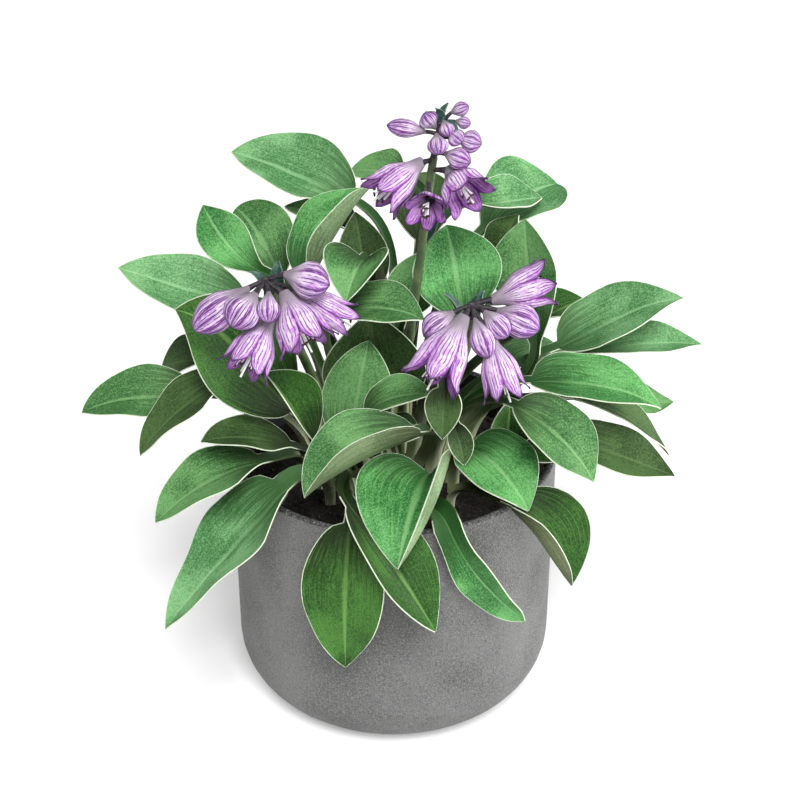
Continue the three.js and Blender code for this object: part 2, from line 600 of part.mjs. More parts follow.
function headGeometry(head) {
  const stem = STEMS[head.stem];
  const top = vector(stem.top);
  const lean = vector(stem.lean).normalize();
  const start = top.clone().addScaledVector(lean, HUB_GAP);
  const core = vector(head.core);
  const curve = new THREE.QuadraticBezierCurve3(
    start, start.clone().addScaledVector(lean, 0.5 * start.distanceTo(core)), core);
  const pieces = [tube(curve, CORE_RADIUS, 6, 3)];
  const knob = new THREE.IcosahedronGeometry(2.8, 0);
  pieces.push(knob.translate(core.x, core.y, core.z));
  for (const bloom of head.blooms) {
    const base = vector(bloom.base);
    const tip = vector(bloom.tip);
    const joint = bloom.joint ? vector(bloom.joint) : core;
    const inside = base.clone().lerp(tip, 0.12);
    const shape = bloom.kind === 'bud' ? budGeometry : bellGeometry;
    const body = shape(bloom.width, base.distanceTo(tip));
    pieces.push(body.applyMatrix4(bloomPlace(base, tip)));
    pieces.push(stalkletGeometry(joint, inside));
  }
  return joinAll(pieces);
}

// ---------------------------------------------------------------- pot and soil

function potGeometry() {
  const base = POT_FOOT_RADIUS - POT_EDGE_ROUND;
  const inner = POT_RADIUS - POT_WALL;
  const profile = [[0, 0], [base, 0]];
  for (const turn of [18, 36, 54, 72, 90]) {
    const a = radians(turn);
    profile.push([
      base + POT_EDGE_ROUND * Math.sin(a),
      POT_EDGE_ROUND * (1 - Math.cos(a)),
    ]);
  }
  profile.push([POT_RADIUS, POT_HEIGHT - 1.2]);
  profile.push([POT_RADIUS - 1, POT_HEIGHT]);
  profile.push([inner + 1, POT_HEIGHT]);
  profile.push([inner, POT_HEIGHT - 1.2]);
  profile.push([inner, POT_EDGE_ROUND]);
  profile.push([base + 16, POT_FLOOR + 3]);
  profile.push([base, POT_FLOOR]);
  profile.push([0, POT_FLOOR]);
  return new THREE.LatheGeometry(profile.map(([r, z]) => new THREE.Vector2(r, z)), POT_SIDES);
}

function soilGeometry(feet) {
  const base = POT_FOOT_RADIUS - POT_EDGE_ROUND;
  const wall = POT_RADIUS - POT_WALL - SOIL_GAP;
  const profile = [[0, POT_FLOOR + 0.5], [base - 1, POT_FLOOR + 0.5]];
  profile.push([base + 15, POT_FLOOR + 3.6]);
  profile.push([wall, POT_EDGE_ROUND + 0.4]);
  profile.push([wall, SOIL_RIM - 0.6]);
  for (const share of [0.97, 0.7, 0.4]) {
    profile.push([share * wall, soilHeight(share * wall)]);
  }
  profile.push([0, SOIL_CROWN]);
  const lathe = new THREE.LatheGeometry(
    profile.map(([r, z]) => new THREE.Vector2(r, z)), SOIL_SIDES);
  lathe.rotateX(Math.PI / 2);
  let soil = toSolid(lathe);
  for (const foot of feet) {
    const hole = new THREE.CylinderGeometry(
      foot.hole, foot.hole, HOLE_DEPTH + 8, HOLE_SIDES);
    hole.rotateX(Math.PI / 2);
    hole.rotateZ(radians(17 * foot.number));
    hole.translate(foot.point.x, foot.point.y, foot.point.z - HOLE_DEPTH + 4 + HOLE_DEPTH / 2);
    soil = soil.subtract(toSolid(hole));
  }
  return toGeometry(soil);
}

// ---------------------------------------------------------------- the plant

const LEAF_GREEN = 0x4f7f4a;
const STEM_GREEN = 0x56663f;
const PETAL_LILAC = 0xa48fc0;
const SOIL_BLACK = 0x1b1714;
const POT_GREY = 0x86848a;

function matt(color, roughness) {
  return new THREE.MeshStandardMaterial({ color, roughness, metalness: 0 });
}

function meshOf(name, geometry, material) {
  const mesh = new THREE.Mesh(geometry, material);
  mesh.name = name;
  return mesh;
}

const plant = new THREE.Group();

const pot = potGeometry();
pot.rotateX(Math.PI / 2);
plant.add(meshOf('pot', pot, matt(POT_GREY, 0.8)));

const feet = [...LEAVES, ...STEMS].map(({ foot }) => ({
  number: foot, point: footPoint(foot), hole: HOLE_RADIUS }));
plant.add(meshOf('soil', soilGeometry(feet), matt(SOIL_BLACK, 1)));

for (const leaf of LEAVES) {
  plant.add(meshOf(leaf.name, leafGeometry(leaf), matt(LEAF_GREEN, 0.5)));
}

for (const stem of STEMS) {
  plant.add(meshOf(stem.name, stemGeometry(stem), matt(STEM_GREEN, 0.6)));
}
for (const head of HEADS) {
  plant.add(meshOf(head.name, headGeometry(head), matt(PETAL_LILAC, 0.6)));
}

export default plant;
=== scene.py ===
"""A small hosta in flower, standing in a round grey pot filled with soil.

The plant is one rigid body. Lengths in the tables below are millimetres and become metres as
each mesh is made; +Z is up and the front of the plant faces -Y.
"""

import logging
import math
import random
from dataclasses import dataclass, field
from enum import Enum, IntEnum
from typing import Callable, Optional, Sequence

import bpy
from mathutils import Matrix, Quaternion, Vector, noise


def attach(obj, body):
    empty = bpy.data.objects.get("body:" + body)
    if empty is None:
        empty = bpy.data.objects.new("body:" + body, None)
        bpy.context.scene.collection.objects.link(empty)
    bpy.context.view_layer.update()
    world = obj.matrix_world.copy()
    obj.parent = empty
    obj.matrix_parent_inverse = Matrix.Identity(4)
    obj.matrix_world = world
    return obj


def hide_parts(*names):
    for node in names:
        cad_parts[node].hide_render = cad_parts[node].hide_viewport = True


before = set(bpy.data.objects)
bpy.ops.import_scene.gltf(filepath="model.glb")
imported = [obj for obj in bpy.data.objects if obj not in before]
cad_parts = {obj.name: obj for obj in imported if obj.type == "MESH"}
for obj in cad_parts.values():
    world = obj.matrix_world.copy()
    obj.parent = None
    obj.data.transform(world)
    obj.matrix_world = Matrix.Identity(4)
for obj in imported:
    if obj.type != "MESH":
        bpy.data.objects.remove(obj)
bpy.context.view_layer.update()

LOG = logging.getLogger("hosta")
MM = 0.001
ROOT = "root"
# a direction that no rod of the plant runs along
ANY_WAY = Vector((0.31, 0.22, 0.93))

Point = tuple[float, float, float]
Pair = tuple[float, float]
Colour = tuple[float, float, float]
Place = Callable[[float, float], Vector]
Section = tuple[Vector, Vector, Vector, float, list[Pair], float]


# ------------------------------------------------------------------ plans

class Tone(Enum):
    """How green and how dark a leaf is: partly the leaf's own green and partly painted shade, since
    the deep and olive tones darken leaves that sit in shade.
    """

    PALE = "pale"
    FRESH = "fresh"
    MID = "mid"
    DEEP = "deep"
    OLIVE = "olive"


class Bloom(Enum):
    """How far a bloom has opened."""

    BUD = "bud"
    OPEN = "open"


class Skin(IntEnum):
    """The material slots of a thin piece: its front, its back and its rim."""

    FRONT = 0
    BACK = 1
    RIM = 2


@dataclass(frozen=True)
class LeafPlan:
    """One leaf, from its foot in the soil to its tip.

    neck and tip are the blade's ends and foot counts outwards along the crown's spiral. rise
    and droop turn the blade's start up and its end down from the line neck-tip. roll and twist
    turn it about its length. fold is the V at the midrib and cup adds to it out to each edge,
    right side first. heading replaces the blade's own direction; wing widens the stalk.
    """

    name: str
    foot: int
    neck: Point
    tip: Point
    width: float
    tone: Tone
    rise: float
    droop: float
    roll: float
    fold: Pair
    cup: Pair
    wave: float = 0
    widest: float = 0.45
    heading: Optional[float] = None
    wing: float = 3.4
    twist: float = 0


@dataclass(frozen=True)
class BractPlan:
    """A small pointed leaf on a flower stem."""

    root: Point
    tip: Point
    width: float
    rise: float
    droop: float


@dataclass(frozen=True)
class StemPlan:
    """A flower stem: its foot in the soil, its top and its direction there."""

    name: str
    foot: int
    top: Point
    lean: Point
    bracts: tuple[BractPlan, ...]


@dataclass(frozen=True)
class BloomPlan:
    """A bud or open bell; its stalklet leaves the head at joint, or else at the core."""

    kind: Bloom
    base: Point
    tip: Point
    width: float
    joint: Optional[Point] = None


@dataclass(frozen=True)
class HeadPlan:
    """A flower head on the stem with that number."""

    name: str
    stem: int
    core: Point
    blooms: tuple[BloomPlan, ...]
    green: float = 0.0
    scales: tuple[BractPlan, ...] = ()


LEAVES = (
    # front, over the rim
    LeafPlan("leaf_front_left_long", 54, (-51, -62, 151), (-107, -104, 101), width=50, tone=Tone.PALE,
             rise=2, droop=6, roll=10, fold=(8, 8), cup=(18, 18),
             wave=1.2, widest=0.32, wing=9),
    LeafPlan("leaf_front_hanging", 49, (-20, -80, 144), (-23, -96, 71), width=41, tone=Tone.DEEP,
             rise=30, droop=14, roll=0, fold=(8, 8), cup=(20, 20),
             wave=1, widest=0.4),
    LeafPlan("leaf_front_crossing", 28, (-20, -81, 155), (20, -110, 104), width=38, tone=Tone.DEEP,
             rise=15, droop=15, roll=0, fold=(20, 6), cup=(50, 12),
             wave=0.8, widest=0.44, heading=-70, wing=4),
    LeafPlan("leaf_front_spoon", 44, (17, -54, 155), (2, -111, 141), width=58, tone=Tone.FRESH,
             rise=40, droop=26, roll=-6, fold=(4, 10), cup=(20, 118),
             wave=0, widest=0.42),
    LeafPlan("leaf_front_strap", 57, (26, -80, 142), (64, -76, 83), width=22, tone=Tone.FRESH,
             rise=44, droop=14, roll=-6, fold=(14, 14), cup=(16, 16),
             wave=0.8, widest=0.55, heading=-105, wing=8),
    LeafPlan("leaf_right_front_low", 52, (57, -63, 143), (86, -78, 107), width=45, tone=Tone.DEEP,
             rise=38, droop=16, roll=24, fold=(14, 8), cup=(110, 18),
             wave=0, widest=0.45),
    LeafPlan("leaf_right_front", 39, (37, -32, 156), (64, -72, 146), width=40, tone=Tone.FRESH,
             rise=26, droop=26, roll=8, fold=(8, 8), cup=(18, 18),
             wave=0.8, widest=0.42),
    # right side
    LeafPlan("leaf_right_down", 18, (58, -43, 186), (95, -64, 157), width=36, tone=Tone.MID,
             rise=22, droop=24, roll=12, fold=(8, 8), cup=(16, 16),
             wave=0.8, widest=0.45),
    LeafPlan("leaf_right_wide", 13, (67, -20, 186), (129, -33, 179), width=38, tone=Tone.FRESH,
             rise=14, droop=26, roll=8, fold=(8, 8), cup=(16, 16),
             wave=0.8, widest=0.38),
    LeafPlan("leaf_right_low_long", 34, (83, -24, 157), (138, -36, 142), width=33, tone=Tone.OLIVE,
             rise=4, droop=2, roll=14, fold=(10, 10), cup=(14, 14),
             wave=0.6, widest=0.45),
    LeafPlan("leaf_right_shade", 55, (89, -2, 166), (141, 0, 131), width=30, tone=Tone.OLIVE,
             rise=26, droop=18, roll=0, fold=(8, 8), cup=(14, 14),
             wave=0.6, widest=0.42),
    LeafPlan("leaf_right_peek", 50, (102, 24, 150), (147, 36, 141), width=34, tone=Tone.MID,
             rise=0, droop=-6, roll=6, fold=(8, 8), cup=(14, 14),
             wave=0.6, widest=0.45),
    LeafPlan("leaf_right_upper", 29, (83, 13, 187), (143, 14, 214), width=40, tone=Tone.PALE,
             rise=2, droop=20, roll=16, fold=(8, 8), cup=(20, 20),
             wave=0.8, widest=0.4),
    LeafPlan("leaf_right_upper_under", 42, (99, 18, 181), (157, 26, 181), width=30, tone=Tone.PALE,
             rise=10, droop=12, roll=4, fold=(10, 10), cup=(14, 14),
             wave=0.6, widest=0.5),
    LeafPlan("leaf_right_tall", 21, (71, 8, 191), (64, 24, 252), width=38, tone=Tone.MID,
             rise=-8, droop=16, roll=0, fold=(10, 10), cup=(18, 18),
             wave=0.8, widest=0.6, heading=60),
    LeafPlan("leaf_right_facing", 3, (35, 4, 206), (26, 26, 248), width=46, tone=Tone.FRESH,
             rise=-6, droop=14, roll=0, fold=(6, 6), cup=(16, 16),
             wave=0.8, widest=0.54, heading=100),
    LeafPlan("leaf_right_back_small", 16, (77, 38, 190), (100, 50, 193), width=32, tone=Tone.DEEP,
             rise=10, droop=20, roll=0, fold=(8, 8), cup=(14, 14),
             wave=0, widest=0.45),
    # top right and back right
    LeafPlan("leaf_top_right_round", 24, (46, 52, 233), (85, 84, 244), width=48, tone=Tone.PALE,
             rise=16, droop=24, roll=16, fold=(8, 8), cup=(26, 26),
             wave=0.8, widest=0.58),
    LeafPlan("leaf_top_right_fold", 11, (42, 44, 251), (75, 60, 247), width=30, tone=Tone.PALE,
             rise=-6, droop=4, roll=20, fold=(12, 12), cup=(40, 20),
             wave=0.6, widest=0.45),
    LeafPlan("leaf_back_right_dark", 8, (50, 33, 224), (62, 42, 246), width=24, tone=Tone.OLIVE,
             rise=0, droop=16, roll=0, fold=(8, 8), cup=(16, 16),
             wave=0.6, widest=0.45),
    # top and top left
    LeafPlan("leaf_top_left", 40, (-21, 60, 245), (-83, 84, 262), width=48, tone=Tone.PALE,
             rise=4, droop=8, roll=-18, fold=(8, 8), cup=(34, 34),
             wave=0.8, widest=0.44),
    LeafPlan("leaf_top_left_under", 27, (-22, 50, 234), (-56, 72, 237), width=34, tone=Tone.DEEP,
             rise=6, droop=10, roll=4, fold=(8, 8), cup=(16, 16),
             wave=0, widest=0.45),
    LeafPlan("leaf_top_small", 19, (4, 72, 253), (-23, 94, 247), width=32, tone=Tone.MID,
             rise=8, droop=12, roll=-10, fold=(8, 8), cup=(20, 20),
             wave=0.6, widest=0.5),
    LeafPlan("leaf_top_behind", 32, (14, 58, 224), (17, 88, 249), width=34, tone=Tone.OLIVE,
             rise=14, droop=24, roll=0, fold=(8, 8), cup=(18, 18),
             wave=0.6, widest=0.5),
    LeafPlan("leaf_left_tall", 22, (-41, 16, 221), (-12, 37, 263), width=47, tone=Tone.FRESH,
             rise=20, droop=18, roll=0, fold=(16, 8), cup=(92, 20),
             wave=0.8, widest=0.45),
    # left side
    LeafPlan("leaf_left_up_front", 9, (-64, 16, 227), (-94, 40, 252), width=26, tone=Tone.FRESH,
             rise=-30, droop=-28, roll=-30, fold=(8, 8), cup=(20, 20),
             wave=0.6, widest=0.6),
    LeafPlan("leaf_left_up_back", 14, (-56, 32, 217), (-80, 61, 241), width=38, tone=Tone.MID,
             rise=6, droop=26, roll=-30, fold=(8, 8), cup=(24, 24),
             wave=0.6, widest=0.5),
    LeafPlan("leaf_left_reach", 30, (-71, -12, 226), (-131, -4, 240), width=36, tone=Tone.PALE,
             rise=-8, droop=-4, roll=-24, fold=(8, 8), cup=(18, 18),
             wave=0.8, widest=0.45),
    LeafPlan("leaf_left_shadow", 46, (-49, -26, 175), (-101, -34, 233), width=50, tone=Tone.DEEP,
             rise=-4, droop=30, roll=-60, fold=(6, 6), cup=(14, 14),
             wave=0.8, widest=0.5),
    LeafPlan("leaf_left_small", 43, (-97, 14, 178), (-119, 24, 167), width=30, tone=Tone.OLIVE,
             rise=20, droop=20, roll=-24, fold=(8, 8), cup=(20, 20),
             wave=0, widest=0.45),
    LeafPlan("leaf_far_left", 51, (-98, -8, 171), (-154, -14, 165), width=36, tone=Tone.MID,
             rise=8, droop=22, roll=-16, fold=(8, 8), cup=(18, 18),
             wave=0.8, widest=0.42),
    LeafPlan("leaf_left_second", 38, (-77, -30, 194), (-122, -44, 159), width=33, tone=Tone.OLIVE,
             rise=18, droop=22, roll=-4, fold=(8, 8), cup=(16, 16),
             wave=0.8, widest=0.42),
    LeafPlan("leaf_left_front_flat", 33, (-50, -36, 159), (-91, -52, 172), width=28, tone=Tone.OLIVE,
             rise=14, droop=22, roll=-8, fold=(8, 8), cup=(18, 18),
             wave=0.6, widest=0.45),
    LeafPlan("leaf_left_front_low", 59, (-64, -46, 156), (-113, -70, 138), width=38, tone=Tone.MID,
             rise=24, droop=20, roll=0, fold=(8, 8), cup=(18, 18),
             wave=0.8, widest=0.44, wing=5),
    # middle
    LeafPlan("leaf_front_arch", 23, (11, -54, 177), (-41, -84, 162), width=48, tone=Tone.MID,
             rise=16, droop=26, roll=-8, fold=(8, 14), cup=(20, 104),
             wave=0.8, widest=0.45, wing=5),
    LeafPlan("leaf_middle_back", 15, (-13, -32, 175), (19, -38, 190), width=27, tone=Tone.MID,
             rise=30, droop=26, roll=10, fold=(8, 8), cup=(18, 18),
             wave=0, widest=0.45),
    LeafPlan("leaf_middle_cup", 20, (-23, -19, 145), (-12, -4, 200), width=36, tone=Tone.MID,
             rise=0, droop=42, roll=0, fold=(8, 8), cup=(12, 12),
             wave=0, widest=0.5, heading=90),
    LeafPlan("leaf_left_upright", 41, (-39, -42, 168), (-60, -42, 204), width=34, tone=Tone.DEEP,
             rise=0, droop=10, roll=0, fold=(26, 34), cup=(20, 20),
             wave=0, widest=0.5, heading=150),
    LeafPlan("leaf_middle_heart", 6, (-14, 6, 239), (-22, -24, 232), width=38, tone=Tone.MID,
             rise=20, droop=30, roll=0, fold=(24, 24), cup=(26, 26),
             wave=0, widest=0.38),
    LeafPlan("leaf_middle_side", 4, (-23, -8, 218), (15, -18, 219), width=32, tone=Tone.MID,
             rise=26, droop=26, roll=14, fold=(8, 8), cup=(18, 18),
             wave=0.6, widest=0.42),
    LeafPlan("leaf_middle_slim", 1, (4, 18, 201), (14, 26, 233), width=28, tone=Tone.MID,
             rise=-4, droop=16, roll=0, fold=(12, 12), cup=(26, 26),
             wave=0, widest=0.5, heading=90),
    LeafPlan("leaf_middle_drop", 10, (24, -50, 200), (23, -60, 178), width=18, tone=Tone.OLIVE,
             rise=10, droop=10, roll=0, fold=(10, 10), cup=(16, 16),
             wave=0, widest=0.34),
    LeafPlan("leaf_middle_dark", 2, (-8, -1, 162), (-11, 1, 213), width=54, tone=Tone.OLIVE,
             rise=0, droop=16, roll=0, fold=(10, 10), cup=(18, 18),
             wave=0, widest=0.45, heading=90),
    LeafPlan("leaf_middle_shade", 48, (-13, 27, 210), (-19, 43, 247), width=27, tone=Tone.OLIVE,
             rise=0, droop=14, roll=0, fold=(8, 8), cup=(16, 16),
             wave=0, widest=0.42, heading=100),
    LeafPlan("leaf_middle_thin", 31, (29, -45, 176), (34, -56, 161), width=13, tone=Tone.OLIVE,
             rise=20, droop=16, roll=6, fold=(10, 10), cup=(18, 18),
             wave=0, widest=0.45),
    LeafPlan("leaf_middle_low", 36, (-4, -33, 163), (13, -36, 165), width=24, tone=Tone.OLIVE,
             rise=30, droop=26, roll=10, fold=(8, 8), cup=(18, 18),
             wave=0, widest=0.45),
    LeafPlan("leaf_right_cup", 26, (56, -22, 150), (57, -18, 174), width=24, tone=Tone.DEEP,
             rise=0, droop=16, roll=0, fold=(10, 10), cup=(40, 40),
             wave=0, widest=0.45, heading=100),
    LeafPlan("leaf_right_under", 47, (62, -16, 151), (84, -28, 146), width=26, tone=Tone.DEEP,
             rise=16, droop=16, roll=24, fold=(10, 10), cup=(18, 18),
             wave=0, widest=0.45),
    # back
    LeafPlan("leaf_back_right_low", 37, (58, 42, 158), (104, 80, 138), width=34, tone=Tone.MID,
             rise=28, droop=24, roll=0, fold=(8, 8), cup=(16, 16),
             wave=0.8, widest=0.42),
    LeafPlan("leaf_back_right_mid", 45, (34, 60, 176), (56, 114, 160), width=34, tone=Tone.MID,
             rise=26, droop=26, roll=0, fold=(8, 8), cup=(16, 16),
             wave=0.8, widest=0.42),
    LeafPlan("leaf_back_low", 53, (-2, 66, 158), (-4, 122, 137), width=36, tone=Tone.MID,
             rise=30, droop=24, roll=0, fold=(8, 8), cup=(18, 18),
             wave=0.8, widest=0.42),
    LeafPlan("leaf_back_left_low", 35, (-58, 44, 156), (-102, 82, 134), width=34, tone=Tone.MID,
             rise=28, droop=24, roll=0, fold=(8, 8), cup=(16, 16),
             wave=0.8, widest=0.42),
)

STEMS = (
    StemPlan("stem_left", 25, (-55, -50, 251), (-0.2, -0.6, 1), (
        BractPlan((-54, -48, 243), (-65, -43, 258), 8, 10, 40),
        BractPlan((-53, -48, 243), (-52, -39, 261), 8, -20, 40),
    )),
    StemPlan("stem_right", 5, (36, -40, 232), (0, -0.1, 1), (
        BractPlan((36, -39, 226), (24, -38, 244), 8, -20, 20),
        BractPlan((36, -39, 226), (42, -33, 243), 8, -20, 30),
    )),
    StemPlan("stem_top", 0, (16, 2, 270), (0.1, 0.1, 1), (
        BractPlan((15, 2, 250), (22, 8, 264), 7, -20, -10),
    )),
)

HEADS = (
    HeadPlan("flowers_left", 0, (-57, -53, 258), (
        BloomPlan(Bloom.BUD, (-63, -56, 257), (-90, -60, 236), 17),
        BloomPlan(Bloom.BUD, (-60, -61, 257), (-72, -70, 243), 17),
        BloomPlan(Bloom.BUD, (-55, -62, 258), (-55, -72, 246), 11),
        BloomPlan(Bloom.OPEN, (-55, -57, 241), (-68, -74, 222), 25),
        BloomPlan(Bloom.BUD, (-50, -54, 262), (-28, -54, 256), 17),
        BloomPlan(Bloom.OPEN, (-49, -56, 254), (-37, -71, 233), 28),
        BloomPlan(Bloom.OPEN, (-46, -49, 252), (-20, -45, 232), 19),
    )),
    HeadPlan("flowers_right", 1, (36, -41, 239), (
        BloomPlan(Bloom.BUD, (29, -44, 238), (14, -49, 227), 14),
        BloomPlan(Bloom.OPEN, (33, -47, 237), (16, -66, 211), 30),
        BloomPlan(Bloom.BUD, (37, -50, 238), (44, -59, 221), 12),
        BloomPlan(Bloom.BUD, (41, -45, 239), (53, -50, 227), 13),
        BloomPlan(Bloom.BUD, (46, -39, 236), (68, -43, 227), 17),
        BloomPlan(Bloom.OPEN, (45, -37, 239), (72, -28, 245), 24),
        BloomPlan(Bloom.OPEN, (44, -50, 229), (53, -63, 202), 22),
    )),
    HeadPlan("flowers_top", 2, (22, 5, 309), (
        BloomPlan(Bloom.BUD, (17, 5, 305), (-3, 4, 309), 9, (21, 5, 304)),
        BloomPlan(Bloom.BUD, (20, 4, 307), (14, 6, 314), 10, (21, 5, 307)),
        BloomPlan(Bloom.BUD, (23, 1, 313), (26, -3, 306), 8, (22, 5, 309)),
        BloomPlan(Bloom.BUD, (25, 0, 308), (32, -3, 303), 9, (21, 5, 305)),
        BloomPlan(Bloom.BUD, (29, 1, 304), (41, -2, 302), 11, (21, 4, 303)),
        BloomPlan(Bloom.BUD, (20, -2, 308), (21, -8, 299), 10, (20, 4, 301)),
        BloomPlan(Bloom.BUD, (23, 0, 297), (36, -5, 294), 11, (19, 4, 295)),
        BloomPlan(Bloom.BUD, (26, 6, 314), (35, 5, 318), 7, (23, 5, 310)),
        BloomPlan(Bloom.BUD, (28, 4, 311), (36, 3, 310), 6, (23, 5, 310)),
        BloomPlan(Bloom.OPEN, (14, 5, 291), (-8, -8, 277), 25, (18, 3, 292)),
        BloomPlan(Bloom.OPEN, (17, -4, 276), (15, -17, 274), 21, (17, 2, 281)),
        BloomPlan(Bloom.OPEN, (26, 3, 288), (36, -13, 279), 27, (18, 3, 287)),
    ), green=0.55, scales=(
        BractPlan((22, 5, 309), (25, 7, 319), 5, 10, 20),
        BractPlan((22, 5, 310), (20, 3, 318), 6, 0, 40),
        BractPlan((22, 4, 310), (30, -3, 307), 5, 40, 60),
        BractPlan((21, 6, 308), (15, 9, 314), 5, 20, 30),
    )),
)


# ------------------------------------------------------------------ making meshes

def deselect() -> None:
    """Deselects everything, so that an operator acts on the new piece alone."""
    bpy.ops.object.select_all(action="DESELECT")


def select_only(piece: bpy.types.Object) -> None:
    """Makes a piece the one selected and active object."""
    deselect()
    piece.select_set(True)
    bpy.context.view_layer.objects.active = piece


def shaped_grid(name: str, across: int, along: int, place: Place) -> bpy.types.Object:
    """A grid whose points are laid on a surface.

    Args:
        name: the new object's name.
        across: how many faces the grid has from side to side.
        along: how many faces it has from its start to its end.
        place: gives the point, in metres, for a share from -1 to 1 across and 0 to 1 along.

    Returns:
        The object, with a UV map that holds both shares from 0 to 1.
    """
    deselect()
    bpy.ops.mesh.primitive_grid_add(x_subdivisions=across, y_subdivisions=along, size=2)
    piece = bpy.context.object
    piece.name = name
    piece.data.name = name
    for vertex in piece.data.vertices:
        vertex.co = place(vertex.co.x, 0.5 * (vertex.co.y + 1))
    return piece


def edit_selected(piece: bpy.types.Object, *steps: Callable[[], object]) -> None:
    """Runs edit-mode operators on all of a piece's faces.

    Args:
        piece: the mesh object to edit.
        steps: the operators, each ready to call.
    """
    select_only(piece)
    bpy.ops.object.mode_set(mode="EDIT")
    bpy.ops.mesh.select_all(action="SELECT")
    for step in steps:
        step()
    bpy.ops.object.mode_set(mode="OBJECT")


def merge_seams(piece: bpy.types.Object, gap: float = 2e-6) -> None:
    """Joins the points that lie together, at a rolled grid's seam and at its poles."""
    edit_selected(piece, lambda: bpy.ops.mesh.remove_doubles(threshold=gap))


def face_outwards(piece: bpy.types.Object) -> None:
    """Turns the faces of a closed piece outwards."""
    edit_selected(piece, lambda: bpy.ops.mesh.normals_make_consistent(inside=False))


def join_all(pieces: Sequence[bpy.types.Object], name: str) -> bpy.types.Object:
    """Joins pieces to one object.

    Args:
        pieces: the objects to join; the first one keeps its place and its materials' order.
        name: the joined object's name.

    Returns:
        The joined object.
    """
    deselect()
    for piece in pieces:
        piece.select_set(True)
    bpy.context.view_layer.objects.active = pieces[0]
    if len(pieces) > 1:
        bpy.ops.object.join()
    joined = bpy.context.object
    joined.name = name
    joined.data.name = name
    return joined


def thicken(piece: bpy.types.Object, thickness: float, *, back: int = 0, rim: int = 0,
            group: str = "", least: float = 1.0) -> None:
    """Gives a thin surface its thickness, away from its normals.

    Args:
        piece: the surface.
        thickness: how thick it becomes, in metres.
        back: how many material slots further the back's material lies.
        rim: how many material slots further the rim's material lies.
        group: the vertex group that sets where it is thickest.
        least: the share of the thickness where the group is nothing.
    """
    select_only(piece)
    solid = piece.modifiers.new("thickness", "SOLIDIFY")
    solid.thickness = thickness
    solid.offset = -1
    solid.use_quality_normals = True
    solid.material_offset = back
    solid.material_offset_rim = rim
    if group:
        solid.vertex_group = group
        solid.thickness_vertex_group = least
    bpy.ops.object.modifier_apply(modifier=solid.name)


def smooth(piece: bpy.types.Object, angle: float = 50) -> None:
    """Shades a piece smooth, but not over edges sharper than the angle in degrees."""
    select_only(piece)
    bpy.ops.object.shade_smooth_by_angle(angle=math.radians(angle))


def sleeve(name: str, points: Sequence[Vector], radii: Sequence[float],
           sides: int = 8) -> bpy.types.Object:
    """A closed round rod along points.

    Args:
        name: the new object's name.
        points: the middle of each ring, in metres.
        radii: each ring's radius, in metres.
        sides: how many faces go round.

    Returns:
        The rod, its faces outward and its ends closed.
    """
    rings: list[tuple[Vector, Vector, Vector, float]] = []
    side = ANY_WAY.copy()
    for i, point in enumerate(points):
        before = points[max(i - 1, 0)]
        after = points[min(i + 1, len(points) - 1)]
        along = (after - before).normalized()
        side = side - along * side.dot(along)
        side.normalize()
        rings.append((point, side.copy(), along.cross(side), radii[i]))
    rings.insert(0, (rings[0][0], rings[0][1], rings[0][2], 0.0))
    rings.append((rings[-1][0], rings[-1][1], rings[-1][2], 0.0))

    def place(u: float, v: float) -> Vector:
        """A point on the rod's skin."""
        centre, one, two, radius = rings[round(v * (len(rings) - 1))]
        turn = math.pi * (u + 1)
        return centre + (one * math.cos(turn) + two * math.sin(turn)) * radius

    rod = shaped_grid(name, sides, len(rings) - 1, place)
    merge_seams(rod, 1e-7)
    face_outwards(rod)
    smooth(rod)
    return rod


def curve_points(ends: Sequence[Vector], count: int) -> list[Vector]:
    """Evenly stepped points of the Bezier curve with those control points.

    Args:
        ends: three or four control points.
        count: how many steps the curve is cut into.

    Returns:
        count + 1 points.
    """
    return [bezier(ends, i / count) for i in range(count + 1)]


def bezier(ends: Sequence[Vector], t: float) -> Vector:
    """The point at t of the Bezier curve with those control points."""
    points = [Vector(p) for p in ends]
    while len(points) > 1:
        points = [a.lerp(b, t) for a, b in zip(points, points[1:])]
    return points[0]


def bezier_way(ends: Sequence[Vector], t: float) -> Vector:
    """The direction at t of the Bezier curve with those control points."""
    steps = [Vector(b) - Vector(a) for a, b in zip(ends, ends[1:])]
    return bezier(steps, t).normalized()


def turned(vector: Vector, axis: Vector, degrees: float) -> Vector:
    """A vector turned about an axis."""
    return Matrix.Rotation(math.radians(degrees), 3, axis) @ vector


def follow(profile: Sequence[Pair], at: float) -> float:
    """A value from a smooth line through (place, value) pairs.

    Args:
        profile: the pairs, their places growing.
        at: the place to read.

    Returns:
        The value there, with a level tangent wherever the line turns back.
    """
    if at <= profile[0][0]:
        return profile[0][1]
    for i in range(len(profile) - 1):
        (x0, y0), (x1, y1) = profile[i], profile[i + 1]
        if at <= x1:
            span = x1 - x0
            here = slope_at(profile, i) * span
            there = slope_at(profile, i + 1) * span
            t = (at - x0) / span
            return ((2 * t ** 3 - 3 * t ** 2 + 1) * y0 + (t ** 3 - 2 * t ** 2 + t) * here
                    + (3 * t ** 2 - 2 * t ** 3) * y1 + (t ** 3 - t ** 2) * there)
    return profile[-1][1]


def slope_at(profile: Sequence[Pair], i: int) -> float:
    """The slope of a profile's smooth line at its pair number i."""
    if i == 0 or i == len(profile) - 1:
        j = min(i, len(profile) - 2)
        return (profile[j + 1][1] - profile[j][1]) / (profile[j + 1][0] - profile[j][0])
    before = (profile[i][1] - profile[i - 1][1]) / (profile[i][0] - profile[i - 1][0])
    after = (profile[i + 1][1] - profile[i][1]) / (profile[i + 1][0] - profile[i][0])
    if before * after <= 0:
        return 0.0
    return 2 * before * after / (before + after)


def add_value(piece: bpy.types.Object, name: str, values: Sequence[float]) -> None:
    """Stores one number per point of a mesh under that name."""
    layer = piece.data.attributes.new(name, "FLOAT", "POINT")
    layer.data.foreach_set("value", values)


